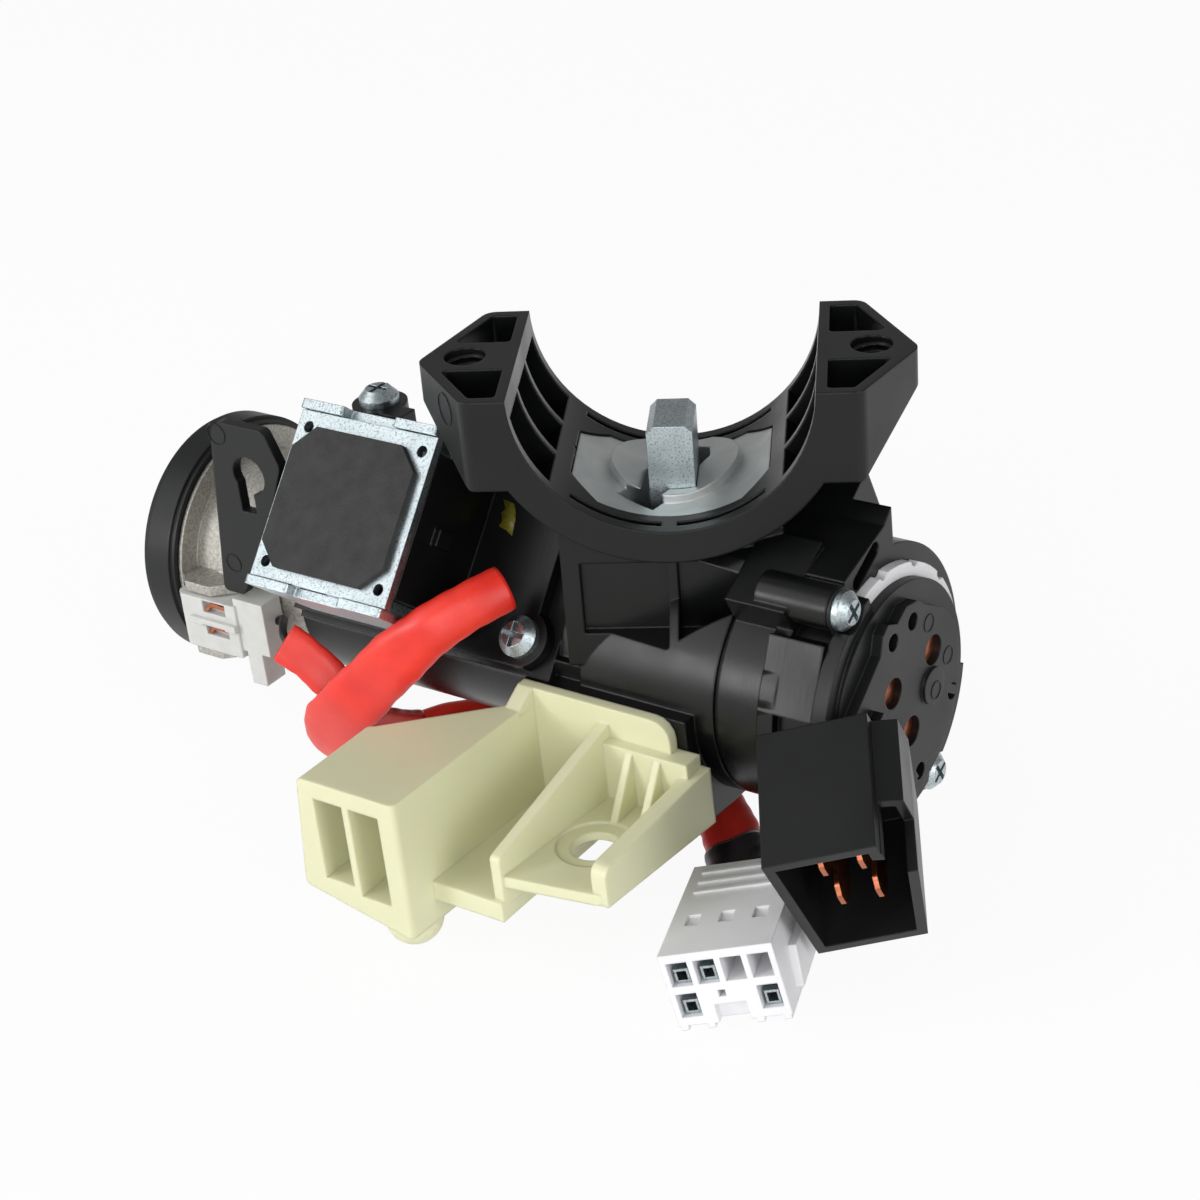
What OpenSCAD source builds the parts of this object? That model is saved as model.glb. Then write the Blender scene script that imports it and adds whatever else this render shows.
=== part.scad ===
// Steering lock and ignition switch assembly, in millimetres.
// Origin on the steering column's axis, midway along the saddle. X runs across the column,
// Y along it and Z up, out of the saddle's mouth. The lock barrel crosses below the saddle.

/* [Column saddle] */
// Radius of the steering column that the saddle seats on
saddle_r = 24; // [22:0.5:26]
// Length of the saddle along the column
saddle_len = 35; // [32:0.5:40]
// Thickness of the saddle's band
saddle_wall = 5.5; // [5:0.25:7]
// How far the clamping pads lie below the column's axis
pad_drop = 0.5; // [0.25:0.25:2]
// Half distance between the tips of the two pads
pad_tip_x = 40; // [38:0.5:44]
// Depth of the pillars under the pads
pillar_h = 16; // [14:0.5:18]
// Distance between the two clamp bolt holes
bolt_spacing = 65; // [63:0.5:67]
// Core diameter of the clamp bolt holes
bolt_hole_d = 6.8; // [5:0.2:7.2]
// Depth of the clamp bolt holes
bolt_hole_depth = 13; // [10:0.5:13.5]

/* [Lock axis] */
// Height of the column axis above the lock axis
lock_drop = 55; // [54:0.5:58]
// Angle in plan between the lock axis and the line across the column
lock_yaw = 30; // [20:1:40]
// Rise of the lock axis towards the switch
lock_tilt = 2; // [0:0.5:4]

/* [Lock body] */
// Radius of the barrel at the key end
barrel_r = 19; // [18.5:0.25:20]
// Radius of the drum at the switch end
drum_r = 21; // [20.5:0.25:22]
// Reach of the barrel towards the key
barrel_reach = 70; // [68:0.5:71]
// Where the drum begins, before the bolt
drum_start = 6; // [5:0.5:8]
// Where the drum ends, at the switch seat
drum_end = 29; // [28.5:0.25:30]

/* [Lock bolt] */
// Width of the lock bolt across the column
bolt_w = 7.5; // [6:0.25:8.5]
// Depth of the lock bolt along the column
bolt_d = 10.5; // [9:0.25:12]
// Gap between the bolt's tip and the column axis when locked
bolt_tip_drop = 11.5; // [10.5:0.25:13]
// Throw of the crank that draws the bolt
crank_throw = 5; // [4.5:0.1:5.2]
// Radius of the crank pin
crank_pin_r = 2.5; // [2:0.1:2.7]

/* [Key cylinder] */
// Radius of the key plug
plug_r = 9; // [8.5:0.1:9.2]
// Outer radius of the sleeve round the key plug
sleeve_r = 17.5; // [16.5:0.25:18]
// Outer radius of the bezel ring
bezel_r = 23; // [22:0.25:24]
// Place of the bezel's front face along the lock axis
bezel_front = 105; // [104:0.5:107]
// Width of the bezel ring
bezel_w = 7.5; // [6:0.25:9]

/* [Solenoid] */
// Tilt of the solenoid's axis above level
solenoid_rise = 40.5; // [38:0.5:43]
// Place of the solenoid along the lock axis, towards the key
solenoid_s = 47.5; // [46:0.5:49]
// Height of the solenoid's axis above the lock axis
solenoid_lift = 4.4; // [4:0.1:4.8]
// Distance of the front plate's face from the lock axis
plate_reach = 40; // [39:0.5:42]
// Side of the front plate
plate_w = 29.5; // [28.5:0.25:30.5]
// Thickness of the yoke and plate steel
steel_t = 1.6; // [1.2:0.1:1.8]
// Travel of the interlock plunger
plunger_travel = 3; // [1.5:0.25:3]

/* [Switch] */
// Place of the switch face along the lock axis
face_s = 43.5; // [43:0.25:44.5]
// Outer radius of the switch case
case_r = 25.2; // [24.8:0.1:25.6]
// Radius of the circle that the switch screws lie on
screw_circle = 24.4; // [24:0.1:24.8]
// Width of the socket's shroud
socket_w = 17.6; // [16.5:0.25:18.5]
// Height of the socket's shroud
socket_h = 27.7; // [26.5:0.25:29]
// Length of the socket's shroud
socket_len = 23.5; // [22:0.25:25]
// Wall of the socket's shroud
socket_wall = 1.6; // [1.2:0.1:2]

/* [Bracket] */
// Wall of the harness bracket
bracket_wall = 2; // [1.6:0.1:2.4]
// Reach of the bracket's holder from the lock axis
bracket_reach = 62; // [60:0.5:64]
// Height of the bracket's holder
holder_h = 26; // [24:0.5:27]

/* [Plug] */
// Width of the harness plug
plug_w = 18.5; // [17.5:0.25:19.5]
// Height of the harness plug
plug_h = 12.8; // [12:0.1:13.6]
// Length of the harness plug
plug_len = 27; // [25:0.5:29]

/* [Hidden] */
$fn = 64;
EPS = 0.02;
SEAT_GAP = 0.15;
RUN_GAP = 0.06;
FREE_GAP = 0.4;

// Colours as the photo shows them
BLACK = "#1c1d1f";
SATIN_BLACK = "#2b2c2e";
ZINC = "#b9c0c2";
STEEL = "#cfd4d6";
FOAM = "#3a3c40";
IVORY = "#e6e3c0";
WHITE = "#f2f3f4";
COPPER = "#b5713f";
BRASS = "#c5a253";
RED = "#e8392b";
WIRE = "#c98a4a";

// Local frames
module lock_frame() {
    translate([0, 0, -lock_drop])
        rotate([0, 0, -lock_yaw])
            rotate([0, -lock_tilt, 0])
                children();
}

// In the solenoid's frame Z runs out along its axis and Y rises beside it
module solenoid_frame() {
    lock_frame()
        rotate([90 - solenoid_rise, 0, 0])
            children();
}

// A cylinder along the lock axis, from one place to another
module along(from, to, r) {
    translate([from, 0, 0])
        rotate([0, 90, 0])
            cylinder(h = to - from, r = r);
}

// A box given by its two corners
module span(a, b) {
    translate(a)
        cube(b - a);
}

// An upright slot with round ends, standing on the XY plane
module slot_prism(length, width, h) {
    for (side = [-1, 1])
        translate([side * (length - width) / 2, 0, 0])
            cylinder(h = h, d = width, $fn = 32);
    translate([-(length - width) / 2, -width / 2, 0])
        cube([length - width, width, h]);
}

// Outline with rounded corners, from points that carry their corner's radius as a third value
ARC_STEPS = 4;
function corner_arc(a, p, b) = let (
        at = [p.x, p.y],
        u = unit([a.x, a.y] - at),
        v = unit([b.x, b.y] - at),
        half = acos(u * v) / 2,
        centre = at + unit(u + v) * p.z / sin(half),
        from = at + u * p.z / tan(half) - centre,
        to = at + v * p.z / tan(half) - centre,
        sweep = 180 - 2 * half)
    p.z == 0 ? [at] : [for (k = [0 : ARC_STEPS])
        centre + (from * sin((1 - k / ARC_STEPS) * sweep) + to * sin(k / ARC_STEPS * sweep)) / sin(sweep)];
function rounded(points) = [for (i = [0 : len(points) - 1])
    each corner_arc(points[(i + len(points) - 1) % len(points)], points[i], points[(i + 1) % len(points)])];

// Points and faces of a tube that follows a route
function unit(v) = v / norm(v);
function route_dir(p, i) = unit(p[min(i + 1, len(p) - 1)] - p[max(i - 1, 0)]);
function side_of(d) = unit(cross(d, abs(d.z) < 0.9 ? [0, 0, 1] : [1, 0, 0]));
function ring_at(c, d, r, n, flat = 1) = let (u = side_of(d), v = cross(d, u))
    [for (k = [0 : n - 1]) c + r * (u * cos(360 * k / n) + flat * v * sin(360 * k / n))];
function tube_faces(rings, n) = concat(
    [[for (k = [0 : n - 1]) k]],
    [for (i = [0 : rings - 2], k = [0 : n - 1])
        [i * n + k, (i + 1) * n + k, (i + 1) * n + (k + 1) % n, i * n + (k + 1) % n]],
    [[for (k = [n - 1 : -1 : 0]) (rings - 1) * n + k]]);

module route_tube(route, d, sides, flat = 1) {
    points = [for (i = [0 : len(route) - 1]) each ring_at(route[i], route_dir(route, i), d / 2, sides, flat)];
    polyhedron(points, tube_faces(len(route), sides), convexity = 6);
}

// A coil spring that stands on the XY plane
module coil_spring(r, wire_d, h, turns, steps = 14, sides = 6) {
    count = turns * steps;
    rise = (h - wire_d) / count;
    route = [for (i = [0 : count])
        [r * cos(360 * i / steps), r * sin(360 * i / steps), wire_d / 2 + rise * i]];
    route_tube(route, wire_d, sides);
}

// A pan head screw whose head rests on the XY plane and whose shank goes down
module pan_screw(head_d, head_h, shank_d, shank_len) {
    difference() {
        union() {
            cylinder(h = head_h * 0.45, d = head_d, $fn = 40);
            translate([0, 0, head_h * 0.45])
                cylinder(h = head_h * 0.55, d1 = head_d, d2 = head_d * 0.62, $fn = 40);
            translate([0, 0, -shank_len])
                cylinder(h = shank_len + EPS, d = shank_d, $fn = 32);
        }
        for (a = [0, 90])
            rotate([0, 0, a])
                translate([-head_d * 0.3, -head_d * 0.06, head_h * 0.4])
                    cube([head_d * 0.6, head_d * 0.12, head_h]);
    }
}

// Saddle
PAD_Y = saddle_len / 2;
PAD_SHOULDER_X = 31;
PAD_TIP_Y = -1.5;
PAD_WALL = 1.7;
PAD_ROUND = 2.5;
POCKET_ROUND = 0.8;
POCKET_DEPTH = 10;
HOLE_RIM = 1.8;
BAND_R = saddle_r + saddle_wall;

// One pad's outline, on the side that x gives
module pad_outline(side, gap) {
    shoulder = side * (PAD_SHOULDER_X + gap);
    end = PAD_Y + gap;
    tip = side * (pad_tip_x + gap);
    polygon(rounded([[side * 18, -end, 0], [shoulder, -end, PAD_ROUND], [tip, PAD_TIP_Y, PAD_ROUND],
        [shoulder, end, PAD_ROUND], [side * 18, end, 0]]));
}

// Lightening pocket between the bolt hole and one end of a pad
module pad_pocket(side, end) {
    near = bolt_hole_d / 2 + HOLE_RIM;
    far = PAD_Y - PAD_WALL;
    inner = saddle_r + PAD_WALL;
    shoulder = PAD_SHOULDER_X - 0.6 * PAD_WALL;
    run = (pad_tip_x - PAD_SHOULDER_X) / (PAD_Y - end * PAD_TIP_Y);
    translate([0, 0, -pad_drop - POCKET_DEPTH])
        linear_extrude(POCKET_DEPTH + 1)
            polygon(rounded([[side * inner, end * near, POCKET_ROUND], [side * inner, end * far, POCKET_ROUND],
                [side * shoulder, end * far, POCKET_ROUND],
                [side * (shoulder + run * (far - near)), end * near, POCKET_ROUND]]));
}

module saddle_band() {
    rotate([90, 0, 0])
        linear_extrude(saddle_len, center = true)
            difference() {
                circle(BAND_R, $fn = 128);
                translate([-BAND_R - 1, -pad_drop])
                    square([2 * BAND_R + 2, BAND_R + 2]);
            }
}

// Pillar under one pad, cut back below its tip
module pillar(side, gap = 0) {
    tip_h = 6.5;
    intersection() {
        translate([0, 0, -pillar_h - gap])
            linear_extrude(pillar_h - pad_drop + gap)
                pad_outline(side, gap);
        rotate([90, 0, 0])
            linear_extrude(saddle_len + 2, center = true)
                polygon([[side * 15, 0], [side * (pad_tip_x + 1), 0], [side * (pad_tip_x + 1), -tip_h + 1],
                    [side * PAD_SHOULDER_X, -pillar_h - gap], [side * 15, -pillar_h - gap]]);
    }
}

// A pocket in the saddle's bore, between two angles from straight down
module bore_pocket(from, to, y0, y1, depth) {
    rotate([90, 0, 0])
        rotate([0, 0, -90 + from])
            rotate_extrude(angle = to - from, $fn = 128)
                translate([saddle_r - 2, -y1])
                    square([depth + 2, y1 - y0]);
}

RIB_T = 1.3;
BORE_EDGE = 1.9;
SIDE_POCKET_FROM = 50;
SIDE_POCKET_TO = 80;
module bore_pockets() {
    reach = PAD_Y - BORE_EDGE;
    pitch = (2 * reach + RIB_T) / 3;
    for (side = [-1, 1], i = [0 : 2]) {
        y0 = -reach + i * pitch;
        a = min(side * SIDE_POCKET_FROM, side * SIDE_POCKET_TO);
        bore_pocket(a, a + SIDE_POCKET_TO - SIDE_POCKET_FROM, y0, y0 + pitch - RIB_T, 4);
    }
    for (end = [-1, 1], side = [-1, 1]) {
        a = side > 0 ? 3 : -40;
        y = end * (PAD_Y - 2.8);
        bore_pocket(a, a + 37, y - 0.7, y + 0.7, 3);
    }
}

// Bolt guide window
GUIDE_X = 16;
GUIDE_Y = 12;
GUIDE_CUT = 4.5;
GUIDE_FOOT = -39;
module guide_outline(gap) {
    x = GUIDE_X - gap;
    y = GUIDE_Y - gap;
    polygon([[-x, -y + GUIDE_CUT], [-x + GUIDE_CUT, -y], [x - GUIDE_CUT, -y], [x, -y + GUIDE_CUT],
        [x, y - GUIDE_CUT], [x - GUIDE_CUT, y], [-x + GUIDE_CUT, y], [-x, y - GUIDE_CUT]]);
}

// Camshaft layout along the lock axis
CRANK_HALF = 3.6;
WEB_R = 9;
WEB_T = 4.4;
SHAFT_R = 6;
CAM_BORE_R = WEB_R + FREE_GAP;
CAM_BORE_END = CRANK_HALF + WEB_T + FREE_GAP;
INTERLOCK_T = 13;
CAM_START = -solenoid_s - INTERLOCK_T / 2;
SPIGOT_R = 14.8;
SPIGOT_END = CAM_START - 1;

// Angles of the crank pin: locked to start
KEY_TURN = 110;
CRANK_REST = 180 - KEY_TURN / 2;
BOLT_TRAVEL = 2 * crank_throw * sin(KEY_TURN / 2);
CRANK_TOP = crank_throw * sin(CRANK_REST);
SLOT_GAP = 0.6;

// Slider cavity under the saddle
SLIDER_T = 6;
SLIDER_N = 9;
SLIDER_TOP = 21;
SPRING_FLOOR = -17.5;
module slider_cavity() {
    half = SLIDER_T / 2 + FREE_GAP;
    wide = SLIDER_N + 1;
    span([-half, -wide, SPRING_FLOOR], [half, wide, SLIDER_TOP + 12]);
}

// Seat of the solenoid on the barrel, in the solenoid's frame
SEAT_Z = 18;
FLANGE_T = 2.4;
SCREW_A = [-18.6, -7.6];
SEAT_LEFT = -barrel_reach + 3;
SEAT_RIGHT = -12.5;
SEAT_LOW = -13.5;
SEAT_HIGH = 24;
SEAT_SCREW_D = 3.4;
EAR_R = 5;
// Upright screw at the top of the flange, in the lock's frame
TOP_SCREW = [-64, 3];
TOP_SCREW_M = 30.2;
module solenoid_seat() {
    span([SEAT_LEFT, SEAT_LOW, 4], [SEAT_RIGHT, SEAT_HIGH, SEAT_Z]);
}

// Pad that carries the harness bracket
BRACKET_PAD_N = -23.5;
BRACKET_LEFT = -17;
BRACKET_RIGHT = 15.5;
BRACKET_TOP = 1.5;
BRACKET_FOOT = -20;

// Lug and screw bosses round the switch seat
LUG_FROM = 28;
LUG_TURN = 155;
LUG_FACE = 21.8;
LUG_POCKET = [[-13.9, 15.6], [-13, 13], [-18.4, 8.4]];
SCREW_ANGLES = [118, -60];
BOSS_R = 3.6;
BOSS_FROM = 25;
BOSS_BLOCK_FROM = 20;
CASE_OUT_R = 17.5;
SEAT_S = 31;
CASE_END = 38;
END_CUT = 34;

module switch_boss(angle, from, to, r) {
    rotate([angle, 0, 0])
        translate([0, screw_circle, 0])
            along(from, to, r);
}

NECK_X = 18;
NECK_Y = 14.5;
module neck(gap) {
    span([-NECK_X - gap, -NECK_Y - gap, -lock_drop + 5], [NECK_X + gap, NECK_Y + gap, -saddle_r - 1]);
}

module lock_housing_body() {
    saddle_band();
    for (side = [-1, 1])
        pillar(side);
    // Neck between the saddle and the drum
    neck(0);
    // Bridge from the right pillar down to the switch seat
    bridge();
    lock_frame() {
        along(-barrel_reach, -drum_start, barrel_r);
        along(-drum_start - 1, drum_end, drum_r);
        along(drum_end - 1, SEAT_S, drum_r + 1);
        // Shelf and pad for the bracket
        span([BRACKET_LEFT, BRACKET_PAD_N, BRACKET_FOOT], [BRACKET_RIGHT, -8, BRACKET_TOP]);
        span([BRACKET_LEFT, -20, BRACKET_TOP - 1], [10, -8, BRACKET_TOP + 3]);
        // Flat lug on the front of the drum
        rotate([LUG_TURN, 0, 0])
            span([LUG_FROM, 18.2, -8.8], [CASE_END + 2.5, LUG_FACE, 3.6]);
        for (a = SCREW_ANGLES)
            switch_boss(a, BOSS_FROM, CASE_END + 3, BOSS_R);
        // Boss under the solenoid's upright screw
        translate([TOP_SCREW.x, TOP_SCREW.y, 10])
            cylinder(h = TOP_SCREW_M - SEAT_GAP - 10, r = EAR_R);
        // Block that the upper screw boss stands on
        rotate([SCREW_ANGLES[0], 0, 0])
            span([BOSS_BLOCK_FROM, 14, -10], [SEAT_S, screw_circle + 2, 4]);
    }
    solenoid_frame()
        solenoid_seat();
}

// Slanting block under the right pillar, with a slot in its end, and the rim round the back of the switch
RIM_FROM = -40;
RIM_TO = 100;
BRIDGE_FROM = 9;
SEAT_WALL_R = CASE_OUT_R + 3;
BRIDGE_LIP = [[-9, 18], [-9, 25], [3.7, 28.8], [6.2, 31], [6.2, 18]];
BRIDGE_ROOT = [[-12, 14], [-12.5, 22], [-9, 25], [3.7, 28.8], [6.2, 31], [11, 34], [16, 22], [14, 12]];
module lock_prism(from, to, outline) {
    translate([from, 0, 0])
        rotate([90, 0, 90])
            linear_extrude(to - from)
                polygon(outline);
}

// Part of a ring about the lock axis, between two angles from the back towards the top
module lock_ring(from, to, r_in, r_out, start, end) {
    translate([from, 0, 0])
        rotate([0, 90, 0])
            rotate([0, 0, 90 + start])
                rotate_extrude(angle = end - start)
                    translate([r_in, 0])
                        square([r_out - r_in, to - from]);
}

module bridge() {
    lock_frame() {
        lock_prism(BRIDGE_FROM, SEAT_S, BRIDGE_ROOT);
        lock_prism(SEAT_S - 1, CASE_END + 2, BRIDGE_LIP);
        along(SEAT_S - 2, CASE_END + 1, SEAT_WALL_R);
        lock_ring(SEAT_S - 2, CASE_END + 1.5, SEAT_WALL_R - 1, case_r, RIM_FROM, RIM_TO);
    }
}

module lock_housing() {
    color(BLACK)
        difference() {
            lock_housing_body();
            // Column bore
            rotate([90, 0, 0])
                cylinder(h = saddle_len + 20, r = saddle_r, center = true, $fn = 128);
            bore_pockets();
            for (side = [-1, 1]) {
                translate([side * bolt_spacing / 2, 0, -pad_drop - bolt_hole_depth])
                    cylinder(h = bolt_hole_depth + 1, d = bolt_hole_d);
                for (end = [-1, 1])
                    pad_pocket(side, end);
            }
            // Window for the bolt guide
            translate([0, 0, GUIDE_FOOT])
                linear_extrude(-GUIDE_FOOT - 10)
                    guide_outline(0);
            neck_cells();
            // Well that the bolt draws down into
            span([-bolt_w / 2 - FREE_GAP, -bolt_d / 2 - FREE_GAP, BOLT_FOOT - BOLT_TRAVEL - 1],
                [bolt_w / 2 + FREE_GAP, bolt_d / 2 + FREE_GAP, GUIDE_FOOT + 1]);
            lock_frame() {
                slider_cavity();
                // Bores for the sleeve's spigot, the camshaft and its bearing
                along(-barrel_reach - 1, SPIGOT_END, SPIGOT_R + SEAT_GAP);
                along(SPIGOT_END - 1, CAM_BORE_END, CAM_BORE_R);
                along(CAM_BORE_END - 1, SEAT_S + 1, SHAFT_R + RUN_GAP);
                // Parting groove of the drum
                difference() {
                    along(19.2, 19.9, drum_r + 0.5);
                    along(19, 20, drum_r - 0.7);
                }
                for (a = SCREW_ANGLES)
                    switch_boss(a, BOSS_FROM + 0.4, CASE_END + 1, 1.3);
                // Machined end, and room for the switch case
                span([CASE_END, -END_CUT, -END_CUT], [CASE_END + 5, END_CUT, END_CUT]);
                along(SEAT_S, CASE_END + 1, CASE_OUT_R + SEAT_GAP);
                // Slot in the end of the bridge
                translate([CASE_END - 6, -2.4, 24.6])
                    rotate([0, 90, 0])
                        rotate([0, 0, 118])
                            slot_prism(9, 2.6, 10);
                lock_prism(CASE_END - 6, CASE_END + 1, LUG_POCKET);
                translate([TOP_SCREW.x, TOP_SCREW.y, TOP_SCREW_M - 9])
                    cylinder(h = 10, d = 2.6, $fn = 32);
            }
            solenoid_frame() {
                // Flat across the barrel, under the solenoid's flange
                span([SEAT_LEFT - EAR_R, SEAT_LOW, SEAT_Z], [SEAT_RIGHT, SEAT_HIGH + SEAT_GAP, SEAT_Z + 12]);
                translate([-solenoid_s, solenoid_lift, 0])
                    cylinder(h = SEAT_Z + 1, r = PLUNGER_TIP_R + FREE_GAP);
                translate([SCREW_A.x, SCREW_A.y, SEAT_Z - 9])
                    cylinder(h = 10, d = 2.6, $fn = 32);
            }
        }
}

// Open cells in the front and back of the neck, either side of a web
CELL_WEB = 1.6;
CELL_DEPTH = 7;
module neck_cells() {
    for (side = [-1, 1], face = [-1, 1])
        span([side > 0 ? CELL_WEB / 2 : -15, face > 0 ? 20 - CELL_DEPTH : -20, -44],
            [side > 0 ? 15 : -CELL_WEB / 2, face > 0 ? 20 : -20 + CELL_DEPTH, -31]);
}

// Bolt and guide
BOSS_PROUD = 1.4;
module bolt_guide() {
    color(ZINC)
        difference() {
            union() {
                difference() {
                    translate([0, 0, GUIDE_FOOT + SEAT_GAP])
                        linear_extrude(-GUIDE_FOOT - 12)
                            guide_outline(SEAT_GAP);
                    rotate([90, 0, 0])
                        cylinder(h = saddle_len, r = saddle_r + 0.2, center = true, $fn = 128);
                }
                difference() {
                    intersection() {
                        translate([0, 3, -30])
                            cylinder(h = 20, r = 10.5);
                        translate([0, 0, GUIDE_FOOT + 2])
                            linear_extrude(40)
                                guide_outline(SEAT_GAP);
                    }
                    rotate([90, 0, 0])
                        cylinder(h = saddle_len, r = saddle_r - BOSS_PROUD, center = true, $fn = 128);
                }
            }
            span([-bolt_w / 2 - SEAT_GAP, -bolt_d / 2 - SEAT_GAP, -60],
                [bolt_w / 2 + SEAT_GAP, bolt_d / 2 + SEAT_GAP, 0]);
            // Room for the slider's head as it draws the bolt
            lock_frame()
                slider_cavity();
        }
}

BOLT_FOOT = -lock_drop + SLIDER_TOP + 1;
module lock_bolt() {
    bevel = 1.2;
    color(STEEL)
        intersection() {
            translate([0, 0, BOLT_FOOT])
                linear_extrude(-bolt_tip_drop - BOLT_FOOT)
                    square([bolt_w, bolt_d], center = true);
            rotate([90, 0, 0])
                linear_extrude(bolt_d + 1, center = true)
                    polygon([[-bolt_w, BOLT_FOOT - 1], [bolt_w, BOLT_FOOT - 1],
                        [bolt_w / 2, -bolt_tip_drop - bevel], [bolt_w / 2 - bevel, -bolt_tip_drop],
                        [-bolt_w / 2 + bevel, -bolt_tip_drop], [-bolt_w / 2, -bolt_tip_drop - bevel]]);
        }
}

// Hook that the crank pin draws down; its slot is open at the front
SLOT_LOW = CRANK_TOP - crank_pin_r - SLOT_GAP;
SLOT_HIGH = CRANK_TOP + crank_pin_r + SLOT_GAP;
SLIDER_FOOT = SLOT_LOW - 4.5;
module bolt_slider() {
    half = SLIDER_T / 2;
    color(ZINC)
        difference() {
            lock_frame()
                difference() {
                    span([-half, -SLIDER_N, SLIDER_FOOT], [half, SLIDER_N, SLIDER_TOP + 4]);
                    span([-half - 1, -SLIDER_N - 1, SLOT_LOW], [half + 1, 1, SLOT_HIGH]);
                    span([-half - 1, -SLIDER_N - 1, SLOT_HIGH + 5], [half + 1, -4, SLIDER_TOP + 6]);
                }
            span([-40, -40, BOLT_FOOT], [40, 40, 0]);
        }
}

module bolt_spring() {
    gap = 0.3;
    color(STEEL)
        lock_frame()
            translate([0, 0, SPRING_FLOOR + gap])
                coil_spring(2.2, 0.9, SLIDER_FOOT - SPRING_FLOOR - 2 * gap, 6);
}

// Rotor parts
TANG_T = 4;
TANG_W = 11;
CAM_END = 26;
TANG_END = 33;
INTERLOCK_ROOT = 5;
module camshaft() {
    color(ZINC)
        lock_frame()
            difference() {
                union() {
                    along(CAM_START, CAM_START + INTERLOCK_T, WEB_R);
                    along(CAM_START + 1, -CRANK_HALF, SHAFT_R);
                    along(-CRANK_HALF - WEB_T, -CRANK_HALF, WEB_R);
                    along(CRANK_HALF, CRANK_HALF + WEB_T, WEB_R);
                    along(CRANK_HALF, CAM_END, SHAFT_R);
                    rotate([CRANK_REST, 0, 0])
                        translate([0, crank_throw, 0])
                            along(-CRANK_HALF - 1, CRANK_HALF + 1, crank_pin_r);
                    span([CAM_END - 1, -TANG_W / 2, -TANG_T / 2], [TANG_END, TANG_W / 2, TANG_T / 2]);
                }
                // Slot that the key plug's tail drives
                span([CAM_START - 1, -TANG_W / 2 - SEAT_GAP, -TANG_T / 2 - SEAT_GAP],
                    [CAM_START + 4, TANG_W / 2 + SEAT_GAP, TANG_T / 2 + SEAT_GAP]);
                interlock_groove();
            }
}

// Groove that the interlock plunger enters, over the key's travel
module interlock_groove() {
    margin = 62;
    start = 180 - solenoid_rise - KEY_TURN - margin;
    translate([-solenoid_s - PLUNGER_TIP_R - FREE_GAP, 0, 0])
        rotate([0, 90, 0])
            rotate([0, 0, 90])
                rotate([0, 0, start])
                    rotate_extrude(angle = KEY_TURN + 2 * margin)
                        translate([INTERLOCK_ROOT, 0])
                            square([WEB_R, 2 * (PLUNGER_TIP_R + FREE_GAP)]);
}

SLEEVE_FRONT = -bezel_front + 2;
module cylinder_sleeve() {
    color(ZINC)
        lock_frame()
            difference() {
                union() {
                    along(SLEEVE_FRONT, -barrel_reach - SEAT_GAP, sleeve_r);
                    along(-barrel_reach - 1, SPIGOT_END - SEAT_GAP, SPIGOT_R);
                    // Flange behind the bezel, the step and the two ears that carry the reminder switch
                    along(-bezel_front + bezel_w + SEAT_GAP, EAR_FROM + 0.4, bezel_r - 1.5);
                    along(SLEEVE_FRONT + 12, -barrel_reach - SEAT_GAP, sleeve_r + 0.6);
                    for (z = [EAR_TOP, EAR_LOW])
                        translate([0, 0, z - EAR_T / 2])
                            linear_extrude(EAR_T)
                                polygon(rounded([[EAR_FROM, -8, 0], [EAR_FROM, -EAR_REACH + 2.5, 1],
                                    [EAR_FROM + 2.5, -EAR_REACH, 1], [EAR_TO - 5.5, -EAR_REACH, 1],
                                    [EAR_TO, -EAR_REACH + 4.5, 1], [EAR_TO, -8, 0]]));
                }
                along(SLEEVE_FRONT - 1, 0, plug_r + RUN_GAP);
                // Opening for the reminder plunger
                translate([REMINDER_S, 0, REMINDER_M])
                    rotate([90, 0, 0])
                        cylinder(h = 40, r = REMINDER_PIN_R + FREE_GAP, $fn = 32);
            }
}

// Key plug, with its keyway and the slots for the wafers
WAFER_COUNT = 6;
WAFER_T = 1;
WAFER_PITCH = 5;
WAFER_FIRST = -bezel_front + 10;
WAFER_W = 6;
WAFER_H = 14;
KEYWAY_W = 2.6;
KEYWAY_H = 9;
PLUG_FRONT = -bezel_front + 0.8;
PLUG_END = CAM_START - 0.4;
module key_plug() {
    color(ZINC)
        lock_frame()
            difference() {
                union() {
                    along(PLUG_FRONT, PLUG_END, plug_r);
                    span([PLUG_END - 1, -TANG_W / 2, -TANG_T / 2], [CAM_START + 3.5, TANG_W / 2, TANG_T / 2]);
                }
                span([PLUG_FRONT - 1, -KEYWAY_W / 2, -KEYWAY_H / 2],
                    [WAFER_FIRST + WAFER_COUNT * WAFER_PITCH, KEYWAY_W / 2, KEYWAY_H / 2]);
                for (i = [0 : WAFER_COUNT - 1])
                    translate([WAFER_FIRST + i * WAFER_PITCH, 0, 0])
                        cube([WAFER_T + 0.2, WAFER_W + 0.2, WAFER_H + 0.2], center = true);
                // Flat that trips the reminder plunger
                span([REMINDER_S - 3, -plug_r - 1, REMINDER_M - 3.5],
                    [REMINDER_S + 3, -plug_r + 1.6, REMINDER_M + 3.5]);
            }
}

module wafers() {
    color(BRASS)
        lock_frame()
            for (i = [0 : WAFER_COUNT - 1])
                translate([WAFER_FIRST + i * WAFER_PITCH, 0, 0])
                    difference() {
                        cube([WAFER_T, WAFER_W, WAFER_H], center = true);
                        cube([WAFER_T + 1, KEYWAY_W + 0.4, KEYWAY_H - 1 - i % 3], center = true);
                    }
}

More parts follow.
